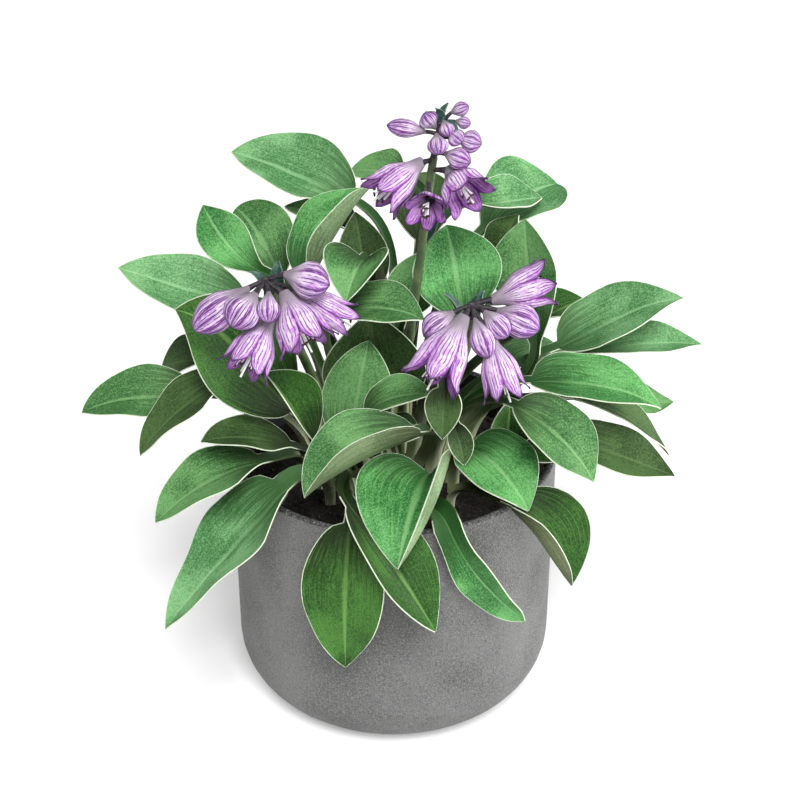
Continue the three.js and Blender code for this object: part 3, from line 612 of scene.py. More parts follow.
def dress(piece: bpy.types.Object, *materials: bpy.types.Material) -> None:
    """Gives a piece its materials, in the order of its slots."""
    piece.data.materials.clear()
    for material in materials:
        piece.data.materials.append(material)


def hand_in(piece: bpy.types.Object, slot: str, *nodes: str) -> None:
    """Puts a finished piece on the body, in place of the solids that it stands for.

    Args:
        piece: the finished piece.
        slot: not used.
        nodes: the solids that it replaces.
    """
    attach(piece, ROOT)
    if nodes:
        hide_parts(*nodes)
    LOG.info("%s: %d faces", piece.name, len(piece.data.polygons))


# ------------------------------------------------------------------ materials

class Graph:
    """Adds nodes to one node tree and links them."""

    def __init__(self, tree: bpy.types.NodeTree) -> None:
        """Starts on an empty tree."""
        self.tree = tree

    def add(self, kind: str, **settings: object) -> bpy.types.Node:
        """Adds a node.

        Args:
            kind: the node's type.
            settings: its properties, by name.

        Returns:
            The node.
        """
        node = self.tree.nodes.new(kind)
        for name, value in settings.items():
            setattr(node, name, value)
        return node

    def feed(self, socket: bpy.types.NodeSocket, value: object) -> None:
        """Links a socket to another, or sets it to a plain value."""
        if isinstance(value, bpy.types.NodeSocket):
            self.tree.links.new(value, socket)
        else:
            socket.default_value = value

    def maths(self, operation: str, a: object, b: object = 0.0,
              c: object = 0.0) -> bpy.types.NodeSocket:
        """A Math node on up to three values."""
        node = self.add("ShaderNodeMath", operation=operation)
        for socket, value in zip(node.inputs, (a, b, c)):
            self.feed(socket, value)
        return node.outputs[0]

    def ramp(self, value: object, low: float, high: float, start: float = 0.0,
             end: float = 1.0) -> bpy.types.NodeSocket:
        """A smooth step from start to end as value goes from low to high."""
        node = self.add("ShaderNodeMapRange", interpolation_type="SMOOTHSTEP")
        for socket, number in zip(node.inputs, (value, low, high, start, end)):
            self.feed(socket, number)
        return node.outputs[0]

    def mix(self, share: object, a: object, b: object) -> bpy.types.NodeSocket:
        """A mix of two colours."""
        node = self.add("ShaderNodeMix", data_type="RGBA")
        self.feed(node.inputs[0], share)
        self.feed(node.inputs[6], a)
        self.feed(node.inputs[7], b)
        return node.outputs[2]

    def noise(self, where: object, scale: float, detail: float = 2.0,
              rough: float = 0.5) -> bpy.types.NodeSocket:
        """Soft noise between 0 and 1 at a place."""
        node = self.add("ShaderNodeTexNoise")
        self.feed(node.inputs["Vector"], where)
        self.feed(node.inputs["Scale"], scale)
        self.feed(node.inputs["Detail"], detail)
        self.feed(node.inputs["Roughness"], rough)
        return node.outputs[0]

    def object_place(self) -> bpy.types.NodeSocket:
        """The place on the piece, in its own coordinates."""
        return self.add("ShaderNodeTexCoord").outputs["Object"]

    def value(self, name: str) -> bpy.types.NodeSocket:
        """The number that the mesh stores under that name."""
        node = self.add("ShaderNodeAttribute", attribute_name=name)
        return node.outputs["Fac"]

    def shares(self) -> tuple[bpy.types.NodeSocket, bpy.types.NodeSocket]:
        """The piece's UV map, as a share across and a share along."""
        where = self.add("ShaderNodeUVMap")
        split = self.add("ShaderNodeSeparateXYZ")
        self.feed(split.inputs[0], where.outputs[0])
        return split.outputs[0], split.outputs[1]


@dataclass(frozen=True)
class GroupPlan:
    """The name and sockets of a shared shader node group."""

    name: str
    colours: tuple[str, ...]
    numbers: tuple[str, ...]
    outputs: tuple[str, ...]


def new_group(plan: GroupPlan) -> tuple[bpy.types.NodeTree, Graph, dict[str, object]]:
    """Starts a shared node group.

    Args:
        plan: its name and sockets.

    Returns:
        The group, a graph on it, and its input sockets by name.
    """
    tree = bpy.data.node_groups.new(plan.name, "ShaderNodeTree")
    for name in plan.colours:
        tree.interface.new_socket(name, in_out="INPUT", socket_type="NodeSocketColor")
    for name in plan.numbers:
        tree.interface.new_socket(name, in_out="INPUT", socket_type="NodeSocketFloat")
    for name in plan.outputs:
        kind = "NodeSocketColor" if name == "Color" else "NodeSocketFloat"
        tree.interface.new_socket(name, in_out="OUTPUT", socket_type=kind)
    graph = Graph(tree)
    given = graph.add("NodeGroupInput")
    return tree, graph, {socket.name: socket for socket in given.outputs if socket.name}


def close_group(graph: Graph, **results: object) -> None:
    """Links a group's results to its outputs of the same names."""
    out = graph.add("NodeGroupOutput")
    for name, value in results.items():
        graph.feed(out.inputs[name], value)


class LeafSurface:
    """The skin of a hosta leaf: fine mottling, faint veins, painted shade over the neck and a pale
    margin.
    """

    plan = GroupPlan(
        "Leaf surface",
        ("Deep", "Light", "Neck", "Midrib", "Margin", "Stalk"),
        ("Veins", "Vein Relief", "Margin Width", "Mottle"),
        ("Color", "Roughness", "Height"),
    )

    def build(self) -> bpy.types.NodeTree:
        """Makes the group.

        Returns:
            The node group.
        """
        tree, g, given = new_group(self.plan)
        across, along = g.shares()
        where = g.object_place()
        side = g.maths("ABSOLUTE", g.maths("MULTIPLY_ADD", across, 2.0, -1.0))
        drift = g.noise(where, 30.0, 1.0)
        bent = g.maths("ADD", side, g.maths("MULTIPLY_ADD", drift, 0.12, -0.06))

        # long soft streaks that run with the veins
        run = g.add("ShaderNodeCombineXYZ")
        g.feed(run.inputs[0], g.maths("MULTIPLY", bent, 11.0))
        g.feed(run.inputs[1], g.maths("MULTIPLY", along, 1.7))
        g.feed(run.inputs[2], g.maths("MULTIPLY", drift, 2.5))
        streak = g.ramp(g.noise(run.outputs[0], 1.6, 3.0, 0.6), 0.3, 0.7)

        # veins: thin lines at equal shares from midrib to margin
        tooth = g.maths("FRACT", g.maths("MULTIPLY", bent, given["Veins"]))
        away = g.maths("ABSOLUTE", g.maths("SUBTRACT", tooth, 0.5))
        vein = g.maths("MULTIPLY", g.ramp(away, 0.02, 0.13, 1.0, 0.0),
                       g.ramp(side, 0.08, 0.2))
        clear = g.ramp(g.noise(where, 55.0, 1.0), 0.4, 0.62)

        # grain, mottling and broad patches
        grain = g.ramp(g.noise(where, 1300.0, 2.0, 0.6), 0.36, 0.66)
        mottle = g.ramp(g.noise(where, 420.0, 3.0, 0.65), 0.34, 0.66)
        broad = g.ramp(g.noise(where, 34.0, 1.0), 0.36, 0.64)
        leafy = g.maths("MULTIPLY", streak, 0.1)
        leafy = g.maths("MULTIPLY_ADD", broad, 0.3, leafy)
        leafy = g.maths("MULTIPLY_ADD", mottle, 0.1, leafy)
        leafy = g.maths("MULTIPLY_ADD", grain, given["Mottle"], leafy)
        colour = g.mix(g.ramp(leafy, 0.04, 0.72), given["Deep"], given["Light"])

        # painted shade: the blade darkens towards its neck, where the leaves above it cast their
        # shade
        neck = g.maths("ADD", along, g.maths("MULTIPLY_ADD", streak, 0.2, -0.1))
        neck = g.ramp(neck, 0.0, 0.52, 0.95, 0.0)
        colour = g.mix(neck, colour, given["Neck"])
        light_vein = g.maths("MULTIPLY", g.maths("MULTIPLY", vein, clear), 0.2)
        colour = g.mix(light_vein, colour, given["Midrib"])
        rib = g.ramp(side, 0.01, 0.085, 1.0, 0.0)
        rib = g.maths("MULTIPLY", rib, g.ramp(along, 0.1, 0.6, 0.15, 0.5))
        colour = g.mix(rib, colour, given["Midrib"])
        stalk = g.ramp(g.value("rise"), 0.05, 0.5, 0.95, 0.0)
        colour = g.mix(stalk, colour, given["Stalk"])
        uneven = g.maths("MULTIPLY_ADD", g.noise(where, 260.0, 2.0), 0.5, -0.25)
        edge = g.maths("ADD", g.value("edge"), uneven)
        edge = g.maths("DIVIDE", edge, given["Margin Width"])
        margin = g.maths("MULTIPLY", g.ramp(edge, 0.7, 1.3, 1.0, 0.0),
                         g.ramp(g.value("rise"), 0.9, 1.0, 0.0, 1.0))
        colour = g.mix(margin, colour, given["Margin"])

        height = g.maths("MULTIPLY", vein, given["Vein Relief"])
        height = g.maths("MULTIPLY_ADD", mottle, 0.25, height)
        rough = g.maths("MULTIPLY_ADD", mottle, 0.1, 0.54)
        close_group(g, Color=colour, Roughness=rough, Height=height)
        return tree


class PetalSurface:
    """A petal's skin: fine purple lines on a pale ground, a flame along its middle, dark edges that
    are partly painted shade.
    """

    plan = GroupPlan(
        "Petal surface",
        ("Pale", "Lilac", "Line", "Edge", "Base"),
        ("Lines", "Line Strength", "Flame"),
        ("Color", "Height"),
    )

    def build(self) -> bpy.types.NodeTree:
        """Makes the group.

        Returns:
            The node group.
        """
        tree, g, given = new_group(self.plan)
        across, along = g.shares()
        where = g.object_place()
        drift = g.noise(where, 150.0, 1.0)
        bent = g.maths("ADD", across, g.maths("MULTIPLY_ADD", drift, 0.16, -0.08))
        upper = g.ramp(along, 0.04, 0.45, 0.25, 1.0)
        side = g.maths("ABSOLUTE", g.maths("MULTIPLY_ADD", bent, 2.0, -1.0))
        real_side = g.maths("ABSOLUTE", g.maths("MULTIPLY_ADD", across, 2.0, -1.0))

        # soft washes of lilac that run with the lines, stronger to the edges and the point
        run = g.add("ShaderNodeCombineXYZ")
        g.feed(run.inputs[0], g.maths("MULTIPLY", bent, 6.0))
        g.feed(run.inputs[1], g.maths("MULTIPLY", along, 1.6))
        g.feed(run.inputs[2], g.maths("MULTIPLY", drift, 6.0))
        wash = g.ramp(g.noise(run.outputs[0], 1.4, 2.0, 0.5), 0.38, 0.66)
        outward = g.maths("ADD", g.ramp(side, 0.25, 1.0, 0.0, 0.5),
                          g.ramp(along, 0.45, 1.0, 0.0, 0.35))
        tint = g.maths("MULTIPLY", g.maths("MULTIPLY_ADD", wash, 0.55, outward), upper)
        colour = g.mix(tint, given["Pale"], given["Lilac"])

        # fine lines, here and there broken or faint
        tooth = g.maths("FRACT", g.maths("MULTIPLY", bent, given["Lines"]))
        away = g.maths("ABSOLUTE", g.maths("SUBTRACT", tooth, 0.5))
        line = g.ramp(away, 0.05, 0.2, 1.0, 0.0)
        broken = g.ramp(g.noise(where, 260.0, 2.0, 0.6), 0.34, 0.54, 0.15, 1.0)
        line = g.maths("MULTIPLY", g.maths("MULTIPLY", line, broken), upper)
        line = g.maths("MULTIPLY", line, given["Line Strength"])
        flame = g.maths("MULTIPLY", g.ramp(side, 0.02, 0.42, 1.0, 0.0),
                        g.ramp(along, 0.3, 0.7))
        flame = g.maths("MULTIPLY", flame, given["Flame"])
        colour = g.mix(flame, colour, given["Line"])
        colour = g.mix(line, colour, given["Line"])

        # dark edges, partly the petal's darker margin and partly painted shade along its outline, and
        # a start in the base colour, which is grey outside and painted shade inside
        edge = g.maths("MULTIPLY", g.ramp(real_side, 0.84, 0.98), upper)
        edge = g.maths("MAXIMUM", edge, g.ramp(along, 0.9, 1.0, 0.0, 0.9))
        colour = g.mix(g.maths("MULTIPLY", edge, 0.9), colour, given["Edge"])
        colour = g.mix(g.ramp(along, 0.08, 0.46, 0.95, 0.0), colour, given["Base"])
        height = g.maths("MULTIPLY", line, -1.0)
        close_group(g, Color=colour, Height=height)
        return tree


class GrainSurface:
    """Speckled, pitted stone or crumbly soil, with painted shade in the pits."""

    plan = GroupPlan(
        "Grain surface",
        ("Dark", "Mid", "Light"),
        ("Grain", "Patch", "Pit", "Pit Share"),
        ("Color", "Height"),
    )

    def build(self) -> bpy.types.NodeTree:
        """Makes the group.

        Returns:
            The node group.
        """
        tree, g, given = new_group(self.plan)
        where = g.object_place()
        grain = g.noise(where, given["Grain"], 3.0, 0.7)
        patch = g.noise(where, given["Patch"], 2.0, 0.5)
        share = g.maths("MULTIPLY_ADD", patch, 0.3, g.maths("MULTIPLY", grain, 0.7))
        colour = g.mix(g.ramp(share, 0.36, 0.6), given["Dark"], given["Mid"])
        bright = g.maths("MULTIPLY", g.ramp(grain, 0.54, 0.72), 0.7)
        colour = g.mix(bright, colour, given["Light"])
        # pits: small hollows, their colour darkened as painted shade inside them
        cells = g.add("ShaderNodeTexVoronoi", feature="F1")
        g.feed(cells.inputs["Vector"], where)
        g.feed(cells.inputs["Scale"], given["Pit"])
        near = g.ramp(cells.outputs["Distance"], 0.1, 0.26, 1.0, 0.0)
        rare = g.ramp(g.noise(where, 210.0, 1.0), given["Pit Share"], 0.75)
        pit = g.maths("MULTIPLY", near, rare)
        colour = g.mix(g.maths("MULTIPLY", pit, 0.8), colour, given["Dark"])
        height = g.maths("MULTIPLY_ADD", pit, -1.0, g.maths("MULTIPLY", grain, 0.5))
        close_group(g, Color=colour, Height=height)
        return tree


def new_material(name: str) -> tuple[bpy.types.Material, Graph, bpy.types.Node]:
    """Starts a material.

    Args:
        name: the material's name.

    Returns:
        The material, a graph on its tree and its Principled shader.
    """
    material = bpy.data.materials.new(name)
    material.use_nodes = True
    return material, Graph(material.node_tree), material.node_tree.nodes["Principled BSDF"]


def opaque(colour: Colour) -> tuple[float, float, float, float]:
    """A colour with full alpha."""
    return (*colour, 1.0)


def use_group(graph: Graph, tree: bpy.types.NodeTree, **values: object) -> bpy.types.Node:
    """Places a shared group in a material.

    Args:
        graph: the graph of the material.
        tree: the shared group.
        values: its inputs, with underscores for spaces in their names.

    Returns:
        The group node.
    """
    node = graph.add("ShaderNodeGroup", node_tree=tree)
    for name, value in values.items():
        number = opaque(value) if isinstance(value, tuple) else value
        node.inputs[name.replace("_", " ")].default_value = number
    return node


def add_relief(graph: Graph, shader: bpy.types.Node, height: bpy.types.NodeSocket,
               depth: float) -> None:
    """Turns a height into relief on a shader.

    Args:
        graph: the graph of the material.
        shader: the shader that gets the normal.
        height: the height, about 0 to 1.
        depth: how deep a height of 1 is, in metres.
    """
    bump = graph.add("ShaderNodeBump")
    bump.inputs["Distance"].default_value = depth
    graph.feed(bump.inputs["Height"], height)
    graph.feed(shader.inputs["Normal"], bump.outputs["Normal"])


@dataclass(frozen=True)
class LeafFinish:
    """The greens of one kind of leaf face."""

    name: str
    deep: Colour
    light: Colour
    # neck: painted shade laid over the blade's start, near the stalk
    neck: Colour
    midrib: Colour
    margin: Colour = (0.58, 0.67, 0.50)
    stalk: Colour = (0.50, 0.56, 0.36)
    veins: float = 8.0
    relief: float = -0.35
    mottle: float = 0.30
    margin_width: float = 0.24

    def build(self, surface: bpy.types.NodeTree) -> bpy.types.Material:
        """Makes the material from the shared leaf surface.

        Args:
            surface: the shared group.

        Returns:
            The material.
        """
        material, graph, shader = new_material(self.name)
        skin = use_group(
            graph, surface, Deep=self.deep, Light=self.light, Neck=self.neck,
            Midrib=self.midrib, Margin=self.margin, Stalk=self.stalk, Veins=self.veins,
            Vein_Relief=self.relief, Margin_Width=self.margin_width, Mottle=self.mottle)
        graph.feed(shader.inputs["Base Color"], skin.outputs["Color"])
        graph.feed(shader.inputs["Roughness"], skin.outputs["Roughness"])
        shader.inputs["Specular IOR Level"].default_value = 0.2
        add_relief(graph, shader, skin.outputs["Height"], 0.00025)
        return material


@dataclass(frozen=True)
class PetalFinish:
    """The colours of one face of the petals."""

    name: str
    pale: Colour
    lilac: Colour
    line: Colour
    edge: Colour
    base: Colour
    lines: float = 7.0
    strength: float = 0.75
    flame: float = 0.0

    def build(self, surface: bpy.types.NodeTree) -> bpy.types.Material:
        """Makes the material from the shared petal surface.

        Args:
            surface: the shared group.

        Returns:
            The material.
        """
        material, graph, shader = new_material(self.name)
        skin = use_group(graph, surface, Pale=self.pale, Lilac=self.lilac, Line=self.line,
                         Edge=self.edge, Base=self.base, Lines=self.lines,
                         Line_Strength=self.strength, Flame=self.flame)
        # painted shade: the petal turns to its edge colour where it is seen edge-on, a dark outline
        # along its silhouette
        facing = graph.add("ShaderNodeLayerWeight")
        facing.inputs["Blend"].default_value = 0.3
        rim = graph.ramp(facing.outputs["Facing"], 0.34, 0.8, 0.0, 0.95)
        colour = graph.mix(rim, skin.outputs["Color"], opaque(self.edge))
        graph.feed(shader.inputs["Base Color"], colour)
        shader.inputs["Roughness"].default_value = 0.5
        shader.inputs["Specular IOR Level"].default_value = 0.3
        add_relief(graph, shader, skin.outputs["Height"], 0.0003)
        return material


@dataclass(frozen=True)
class GrainFinish:
    """The colours and grain sizes of a stony or earthy surface."""

    name: str
    dark: Colour
    mid: Colour
    light: Colour
    grain: float
    patch: float
    pit: float
    pit_share: float
    roughness: float
    depth: float

    def build(self, surface: bpy.types.NodeTree) -> bpy.types.Material:
        """Makes the material from the shared grain surface.

        Args:
            surface: the shared group.

        Returns:
            The material.
        """
        material, graph, shader = new_material(self.name)
        skin = use_group(graph, surface, Dark=self.dark, Mid=self.mid, Light=self.light,
                         Grain=self.grain, Patch=self.patch, Pit=self.pit,
                         Pit_Share=self.pit_share)
        graph.feed(shader.inputs["Base Color"], skin.outputs["Color"])
        shader.inputs["Roughness"].default_value = self.roughness
        shader.inputs["Specular IOR Level"].default_value = 0.3
        add_relief(graph, shader, skin.outputs["Height"], self.depth)
        return material


@dataclass(frozen=True)
class PlainFinish:
    """A small part's colour, varied by soft noise along it."""

    name: str
    one: Colour
    other: Colour
    scale: float
    roughness: float = 0.5

    def build(self) -> bpy.types.Material:
        """Makes the material."""
        material, graph, shader = new_material(self.name)
        where = graph.object_place()
        share = graph.ramp(graph.noise(where, self.scale, 3.0, 0.6), 0.35, 0.65)
        colour = graph.mix(share, opaque(self.one), opaque(self.other))
        graph.feed(shader.inputs["Base Color"], colour)
        shader.inputs["Roughness"].default_value = self.roughness
        add_relief(graph, shader, share, 0.0002)
        return material


# Leaf greens by tone: the deep and olive tones are partly painted shade for leaves that sit in shade.
LEAF_TOPS = {
    Tone.PALE: LeafFinish("leaf_top_pale", (0.040, 0.165, 0.045), (0.240, 0.500, 0.220),
                          (0.034, 0.100, 0.026), (0.340, 0.600, 0.300)),
    Tone.FRESH: LeafFinish("leaf_top_fresh", (0.018, 0.128, 0.024), (0.165, 0.460, 0.145),
                           (0.016, 0.070, 0.012), (0.300, 0.580, 0.240)),
    Tone.MID: LeafFinish("leaf_top_mid", (0.024, 0.105, 0.024), (0.165, 0.375, 0.130),
                         (0.020, 0.052, 0.012), (0.260, 0.470, 0.200)),
    Tone.DEEP: LeafFinish("leaf_top_deep", (0.013, 0.056, 0.007), (0.068, 0.205, 0.034),
                          (0.007, 0.016, 0.002), (0.220, 0.400, 0.110)),
    Tone.OLIVE: LeafFinish("leaf_top_olive", (0.016, 0.042, 0.009), (0.076, 0.150, 0.044),
                           (0.012, 0.022, 0.005), (0.120, 0.200, 0.072)),
}
LEAF_UNDERS = {
    Tone.PALE: LeafFinish("leaf_under_pale", (0.130, 0.200, 0.100), (0.300, 0.400, 0.240),
                          (0.070, 0.095, 0.040), (0.360, 0.460, 0.290), relief=0.9),
    Tone.FRESH: LeafFinish("leaf_under_fresh", (0.110, 0.180, 0.078), (0.270, 0.380, 0.200),
                           (0.060, 0.082, 0.032), (0.340, 0.450, 0.260), relief=0.9),
    Tone.MID: LeafFinish("leaf_under_mid", (0.080, 0.125, 0.054), (0.195, 0.270, 0.135),
                         (0.044, 0.058, 0.022), (0.290, 0.370, 0.210), relief=0.9),
    Tone.DEEP: LeafFinish("leaf_under_deep", (0.060, 0.090, 0.036), (0.170, 0.205, 0.105),
                          (0.028, 0.036, 0.012), (0.230, 0.270, 0.150), relief=0.9),
    Tone.OLIVE: LeafFinish("leaf_under_olive", (0.048, 0.060, 0.026), (0.145, 0.165, 0.085),
                           (0.022, 0.028, 0.010), (0.190, 0.205, 0.120), relief=0.9),
}
LEAF_RIM = PlainFinish("leaf_rim", (0.56, 0.66, 0.46), (0.70, 0.77, 0.60), 300.0)

PETAL_OUTSIDE = PetalFinish("petal_outside", (0.82, 0.69, 0.83), (0.38, 0.11, 0.49),
                            (0.150, 0.014, 0.250), (0.028, 0.003, 0.050),
                            (0.24, 0.20, 0.24), strength=0.9)
# The inside is a darker copy of the outside, near-black towards the base: painted shade inside the
# bell.
PETAL_INSIDE_SHADED = PetalFinish("petal_inside_shaded", (0.56, 0.32, 0.61), (0.30, 0.085, 0.40),
                           (0.120, 0.012, 0.200), (0.045, 0.004, 0.075),
                           (0.012, 0.006, 0.016), strength=0.9)
BUD_OUTSIDE = PetalFinish("bud_outside", (0.84, 0.72, 0.84), (0.38, 0.12, 0.50),
                          (0.110, 0.010, 0.200), (0.028, 0.003, 0.048),
                          (0.22, 0.18, 0.22), lines=5.0, strength=1.0, flame=0.85)
STALKLET = PlainFinish("stalklet_purple", (0.008, 0.007, 0.010), (0.045, 0.035, 0.045), 500.0)
STAMEN = PlainFinish("stamen_white", (0.70, 0.72, 0.66), (0.86, 0.86, 0.82), 400.0)
ANTHER = PlainFinish("anther_dark", (0.010, 0.006, 0.010), (0.050, 0.026, 0.012), 900.0)
STEM_SKIN = PlainFinish("stem_olive", (0.050, 0.085, 0.030), (0.120, 0.170, 0.065), 120.0)
BRACT_SKIN = PlainFinish("bract_teal", (0.010, 0.045, 0.032), (0.040, 0.125, 0.090), 260.0)
BRACT_RIM = PlainFinish("bract_edge", (0.060, 0.120, 0.090), (0.160, 0.230, 0.180), 500.0)
POT_OUTSIDE = GrainFinish("pot_stone", (0.080, 0.079, 0.078), (0.178, 0.177, 0.176),
                          (0.300, 0.298, 0.296), 1300.0, 28.0, 260.0, 0.6, 0.72, 0.0003)
POT_INSIDE = GrainFinish("pot_inside_black", (0.004, 0.004, 0.004), (0.012, 0.012, 0.012),
                         (0.030, 0.030, 0.030), 600.0, 60.0, 200.0, 0.6, 0.85, 0.0004)
# The lip is dark with pale specks, brighter than the wall's: partly the rough edge's own grain and
# partly painted highlight where it catches the light.
POT_LIP = GrainFinish("pot_lip_painted_glint", (0.020, 0.020, 0.020), (0.100, 0.100, 0.100),
                      (0.420, 0.415, 0.410), 900.0, 200.0, 300.0, 0.62, 0.8, 0.0004)
SOIL = GrainFinish("soil_black", (0.003, 0.0025, 0.002), (0.016, 0.012, 0.009),
                   (0.060, 0.048, 0.036), 500.0, 120.0, 260.0, 0.6, 0.95, 0.0012)
FLOOR = PlainFinish("floor_pale", (0.95, 0.95, 0.95), (0.96, 0.96, 0.96), 6.0, 0.8)


@dataclass
class Finishes:
    """All of the plant's materials, each built once."""

    tops: dict[Tone, bpy.types.Material] = field(default_factory=dict)
    unders: dict[Tone, bpy.types.Material] = field(default_factory=dict)
    plain: dict[str, bpy.types.Material] = field(default_factory=dict)

    def build(self) -> "Finishes":
        """Builds the shared groups and the materials on them.

        Returns:
            The finishes, ready to use.
        """
        leaf = LeafSurface().build()
        petal = PetalSurface().build()
        grain = GrainSurface().build()
        for tone in Tone:
            self.tops[tone] = LEAF_TOPS[tone].build(leaf)
            self.unders[tone] = LEAF_UNDERS[tone].build(leaf)
        for finish in (PETAL_OUTSIDE, PETAL_INSIDE_SHADED, BUD_OUTSIDE):
            self.plain[finish.name] = finish.build(petal)
        for finish in (POT_OUTSIDE, POT_INSIDE, POT_LIP, SOIL):
            self.plain[finish.name] = finish.build(grain)
        for finish in (LEAF_RIM, STALKLET, STAMEN, ANTHER, STEM_SKIN, BRACT_SKIN, BRACT_RIM,
                       FLOOR):
            self.plain[finish.name] = finish.build()
        return self


# ------------------------------------------------------------------ pot and soil

@dataclass(frozen=True)
class PotSizes:
    """The pot's sizes, in millimetres.

    The rough lip reaches lip down from the top; wear lowers it and sway moves it in and out.
    side_ring is the height of a ring of points that divides the tall inner wall.
    """

    radius: float = 82.5
    foot_radius: float = 82.1
    height: float = 140
    edge_round: float = 30
    wall: float = 3.4
    floor: float = 8
    lip: float = 1.3
    side_ring: float = 90
    lip_wear: float = 0.28
    lip_sway: float = 0.16
    sides: int = 144


class Pot:
    """A round pot with a straight wall, a rounded foot and a thin rough lip."""

    def __init__(self, sizes: PotSizes, finishes: Finishes) -> None:
        """Keeps the sizes and the materials."""
        self.sizes = sizes
        self.finishes = finishes

    def outline(self) -> list[Pair]:
        """The pot's section from the middle of its foot, up and over, to its inner floor."""
        s = self.sizes
        base = s.foot_radius - s.edge_round
        inner = s.radius - s.wall
        line: list[Pair] = [(0, 0), (base * 0.6, 0), (base, 0)]
        for turn in range(10, 91, 10):
            a = math.radians(turn)
            line.append((base + s.edge_round * math.sin(a), s.edge_round * (1 - math.cos(a))))
        for share in (0.1, 0.2, 0.3, 0.4, 0.5, 0.6, 0.7, 0.8, 0.9, 0.96):
            line.append((s.foot_radius + (s.radius - s.foot_radius) * share,
                         s.edge_round + (s.height - 1.2 - s.edge_round) * share))
        line += [(s.radius, s.height - 1.1), (s.radius - 0.3, s.height - 0.4),
                 (s.radius - 0.9, s.height), (inner + 0.9, s.height),
                 (inner + 0.3, s.height - 0.4), (inner, s.height - 1.1)]
        line += [(inner, s.height - 8), (inner, s.side_ring), (inner, s.edge_round)]
        line += [(base + 16, s.floor + 3), (base, s.floor), (0, s.floor)]
        return line

    def build(self) -> bpy.types.Object:
        """Makes the pot.

        Returns:
            The pot, in place of its solid.
        """
        line = self.outline()
        s = self.sizes

        def place(u: float, v: float) -> Vector:
            """A point of the pot's wall, with the small unevenness of a cast pot."""
            radius, z = line[round(v * (len(line) - 1))]
            turn = math.pi * (u + 1)
            way = Vector((math.cos(turn), math.sin(turn), 0))
            if z > s.height - s.lip:
                rough = noise.noise(way * 26) + 0.6 * noise.noise(way * 70)
                z -= s.lip_wear * abs(rough)
                radius += s.lip_sway * noise.noise(way * 40 + Vector((0, 0, 3)))
            return (way * radius + Vector((0, 0, z))) * MM

        pot = shaped_grid("pot_wall", s.sides, len(line) - 1, place)
        merge_seams(pot)
        face_outwards(pot)
        plain = self.finishes.plain
        dress(pot, plain[POT_OUTSIDE.name], plain[POT_INSIDE.name], plain[POT_LIP.name])
        for face in pot.data.polygons:
            outward = Vector((face.center.x, face.center.y, 0)).normalized()
            # the lip takes the lip finish, with its painted highlight
            if face.center.z > (s.height - s.lip) * MM:
                face.material_index = Skin.RIM
            elif face.normal.z > 0.3 or face.normal.dot(outward) < -0.3:
                face.material_index = Skin.BACK
        smooth(pot, 40)
        hand_in(pot, "pot", "pot")
        return pot


@dataclass(frozen=True)
class SoilSizes:
    """The soil's sizes, in millimetres."""

    rim: float = 117
    crown: float = 126
    gap: float = 0.3
    bottom: float = 8.5
    foot_spacing: float = 6.2
    golden_turn: float = 137.5
    rings: int = 36
    sides: int = 120
    crumbs: int = 420
    crumb_reach: float = 0.965
    seed: int = 41


